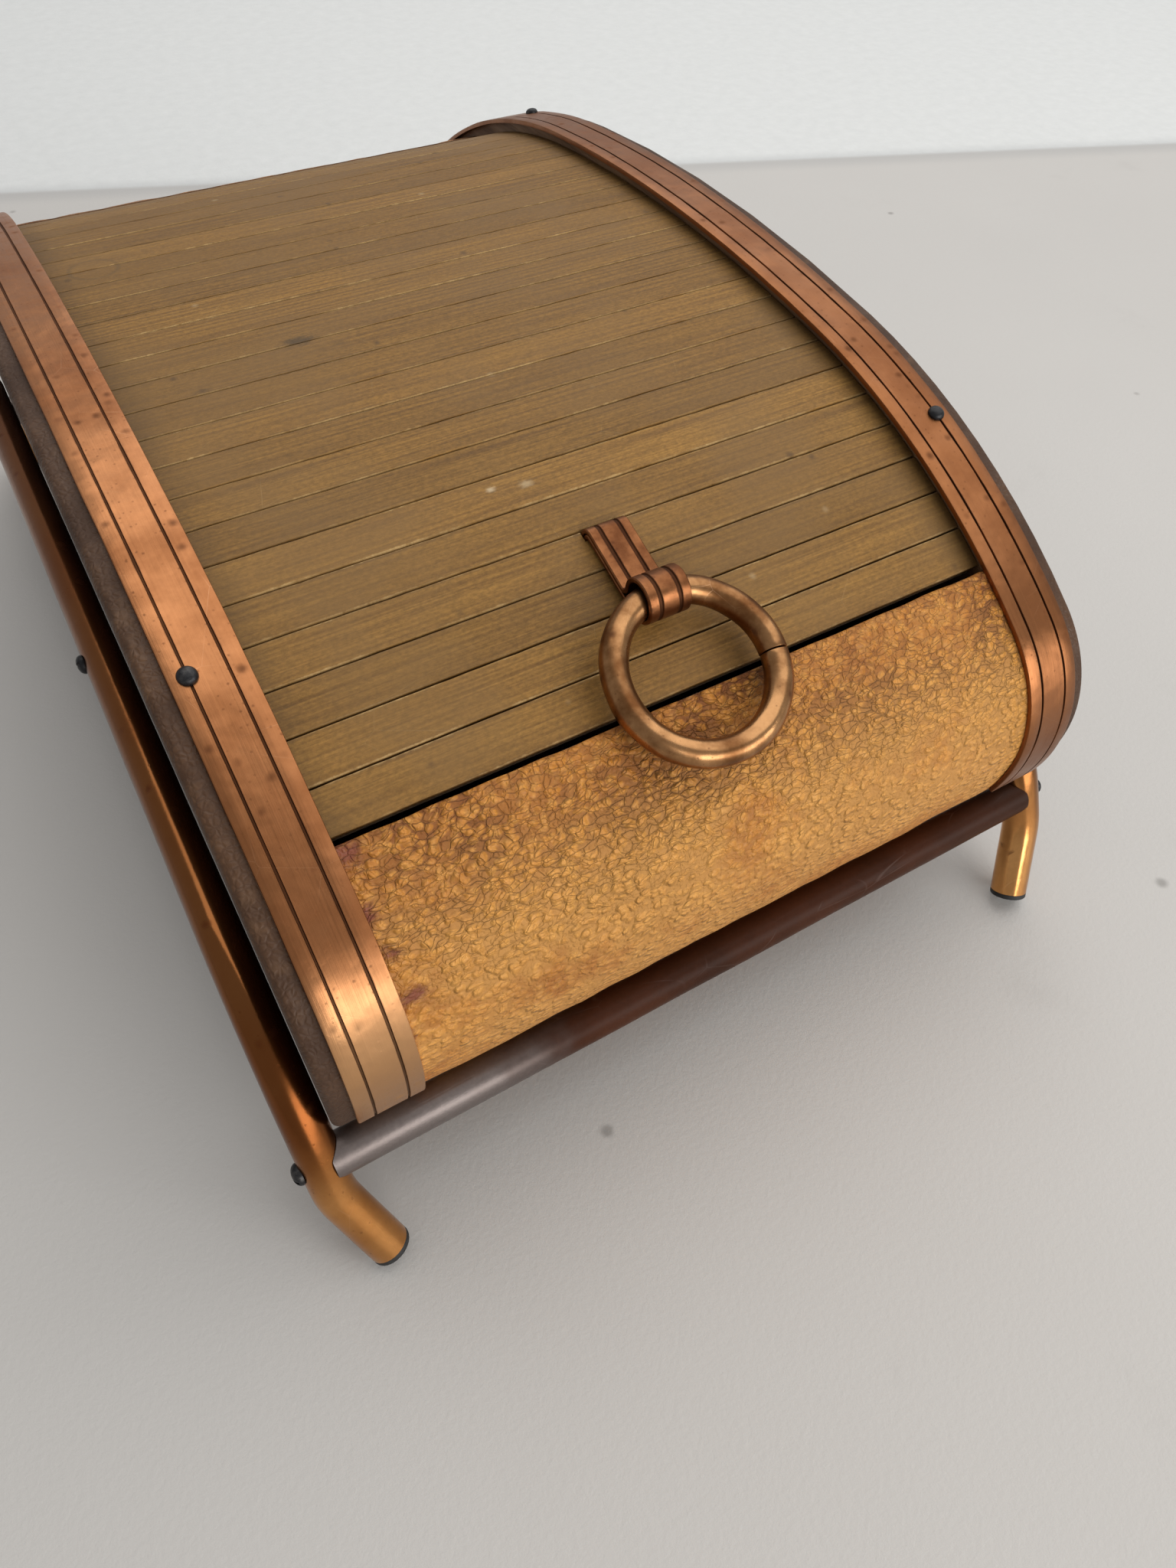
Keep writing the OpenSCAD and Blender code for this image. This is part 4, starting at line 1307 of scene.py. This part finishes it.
def pull_ring():
    bm = bmesh.new()
    place = slat_frame(STRAP_SLAT) @ Matrix.Translation((0, -EYE_REACH, EYE_Z)) @ turned_about("X", RING_LEAN)
    place = place @ Matrix.Translation((0, -RING_R, 0)) @ turned_about("Z", SEAM_PLACE)
    wire = circle_points(Vector((RING_R, 0, 0)), Vector((1, 0, 0)), Vector((0, 0, 1)), WIRE_R, WIRE_SIDES)
    first = ring_of(bm, wire)
    last = turn(bm, first, (0, 0, 0), (0, 0, 1), 360.0 - SEAM_GAP, RING_STEPS)
    rims = edges_in(first + last)
    close_ring(bm, first)
    close_ring(bm, last)
    bmesh.ops.bevel(bm, geom=rims, offset=0.18, segments=2, **ROUND_EDGES)
    bmesh.ops.recalc_face_normals(bm, faces=bm.faces)
    rough_up(bm, 0.12, 6.0, 4.4)
    bmesh.ops.transform(bm, matrix=place, verts=bm.verts)
    finish_piece(bm, "pull_ring_copper", ring_copper, "pull_ring", "pull_ring", slot="red_copper")


pull_ring()

# %% [markdown]
# ## Suede on the floor
# The lining is glued down, but it isn't dead flat. A grid the size of the CAD lining is subdivided, closed into a thin
# slab, and its upper face rises and falls by a fraction of a millimetre.

# %% Suede
NAP_DROP, NAP_WAVE, NAP_WAVE_LENGTH = 0.35, 0.22, 19


def floor_lining():
    low, high = box_in_mm("floor_lining")
    bm = bmesh.new()
    made = bmesh.ops.create_grid(bm, x_segments=44, y_segments=56, size=0.5)["verts"]
    size = high - low
    bmesh.ops.scale(bm, vec=(size.x, size.y, 1), verts=made)
    bmesh.ops.translate(bm, vec=((low.x + high.x) / 2, (low.y + high.y) / 2, low.z + 0.1), verts=made)
    top = raise_faces(bm)
    bmesh.ops.translate(bm, vec=(0, 0, size.z - NAP_DROP), verts=top)
    for vert in top:
        vert.co.z += NAP_WAVE * noise.noise(vert.co / NAP_WAVE_LENGTH)
    finish_piece(bm, "floor_suede", suede, "box", "floor_lining", slot="suede", sharp=50.0)


floor_lining()

# %% [markdown]
# ## Table, wall and light
# The box stands on a pale painted table in front of a white wall. In this scene both are one flat floor: beyond a
# line behind the box its colour turns from the table's warm grey to the wall's white, so nothing stands in the way of
# other views. A soft painted shadow darkens the floor along that line, at the foot of the wall. The light is soft: an
# even sky all round, a large lamp from the right rear, and a weaker one in front.

# %% Table and wall
WALL_FROM, WALL_TO = Vector((-50.3, 348.1)) * MM, Vector((488.3, 150.5)) * MM


def table_paint():
    material, shader, place = new_material("table_paint")
    x, y, _ = split(place)
    run = (WALL_TO - WALL_FROM).normalized()
    outward = Vector((-run.y, run.x))
    away = x * outward.x + y * outward.y + -outward.dot(WALL_FROM)
    smudge = patchy(place, 16.0, 0.60, 0.85)
    speck = effect(SPECKS, place, Scale=60.0, Size=0.10, Share=0.08)
    table_colour = mix(cloud(place, 6.0, 3.0), (0.500, 0.486, 0.468), (0.550, 0.536, 0.518))
    table_colour = tint(table_colour, (smudge, 0.30, (0.300, 0.285, 0.268)), (speck, 0.5, (0.13, 0.12, 0.11)))
    plaster = mix(cloud(place, 160.0, 5.0, 0.65), (0.60, 0.615, 0.615), (0.72, 0.735, 0.735))
    paint = mix(remap(away, 0.0, 0.004), table_colour, plaster)
    # Painted shadow along the foot of the wall.
    paint = tint(paint, (remap(abs(away), 0.012, 0.0), 0.32, (0.30, 0.31, 0.32)))
    normal = relief(cloud(place, 700.0, 4.0, 0.7), 0.0001)
    dress(shader, Base_Color=paint, Roughness=0.55, Normal=normal, Specular_IOR_Level=0.3)
    return material


def table():
    bm = bmesh.new()
    bmesh.ops.create_grid(bm, x_segments=1, y_segments=1, size=6.0)
    mesh = bpy.data.meshes.new("table")
    bm.to_mesh(mesh)
    bm.free()
    mesh.materials.append(table_paint())
    piece = bpy.data.objects.new("table", mesh)
    bpy.context.scene.collection.objects.link(piece)


table()


# %% Light
WARM, MIDDLE_OF_BOX = (1.0, 0.98, 0.95), (0.0, 0.0, 0.05)


def lamp(name, place, size, power):
    data = bpy.data.lights.new(name, "AREA")
    data.shape, data.size, data.size_y = "RECTANGLE", *size
    data.energy, data.color = power, WARM
    made = bpy.data.objects.new(name, data)
    turned = (Vector(MIDDLE_OF_BOX) - Vector(place)).to_track_quat("-Z", "Y")
    made.matrix_world = Matrix.Translation(place) @ turned.to_matrix().to_4x4()
    bpy.context.scene.collection.objects.link(made)


world = bpy.data.worlds.new("soft_sky")
world.use_nodes = True
sky = world.node_tree.nodes["Background"].inputs
sky["Color"].default_value, sky["Strength"].default_value = (0.99, 0.985, 0.98, 1.0), 0.42
bpy.context.scene.world = world
bpy.context.scene.view_settings.view_transform = "Standard"
lamp("ceiling", (0.55, 0.35, 1.25), (2.3, 1.8), 19.0)
lamp("window", (0.40, -1.25, 0.42), (1.3, 0.6), 12.0)
print("lights:", [light.name for light in bpy.data.lights])
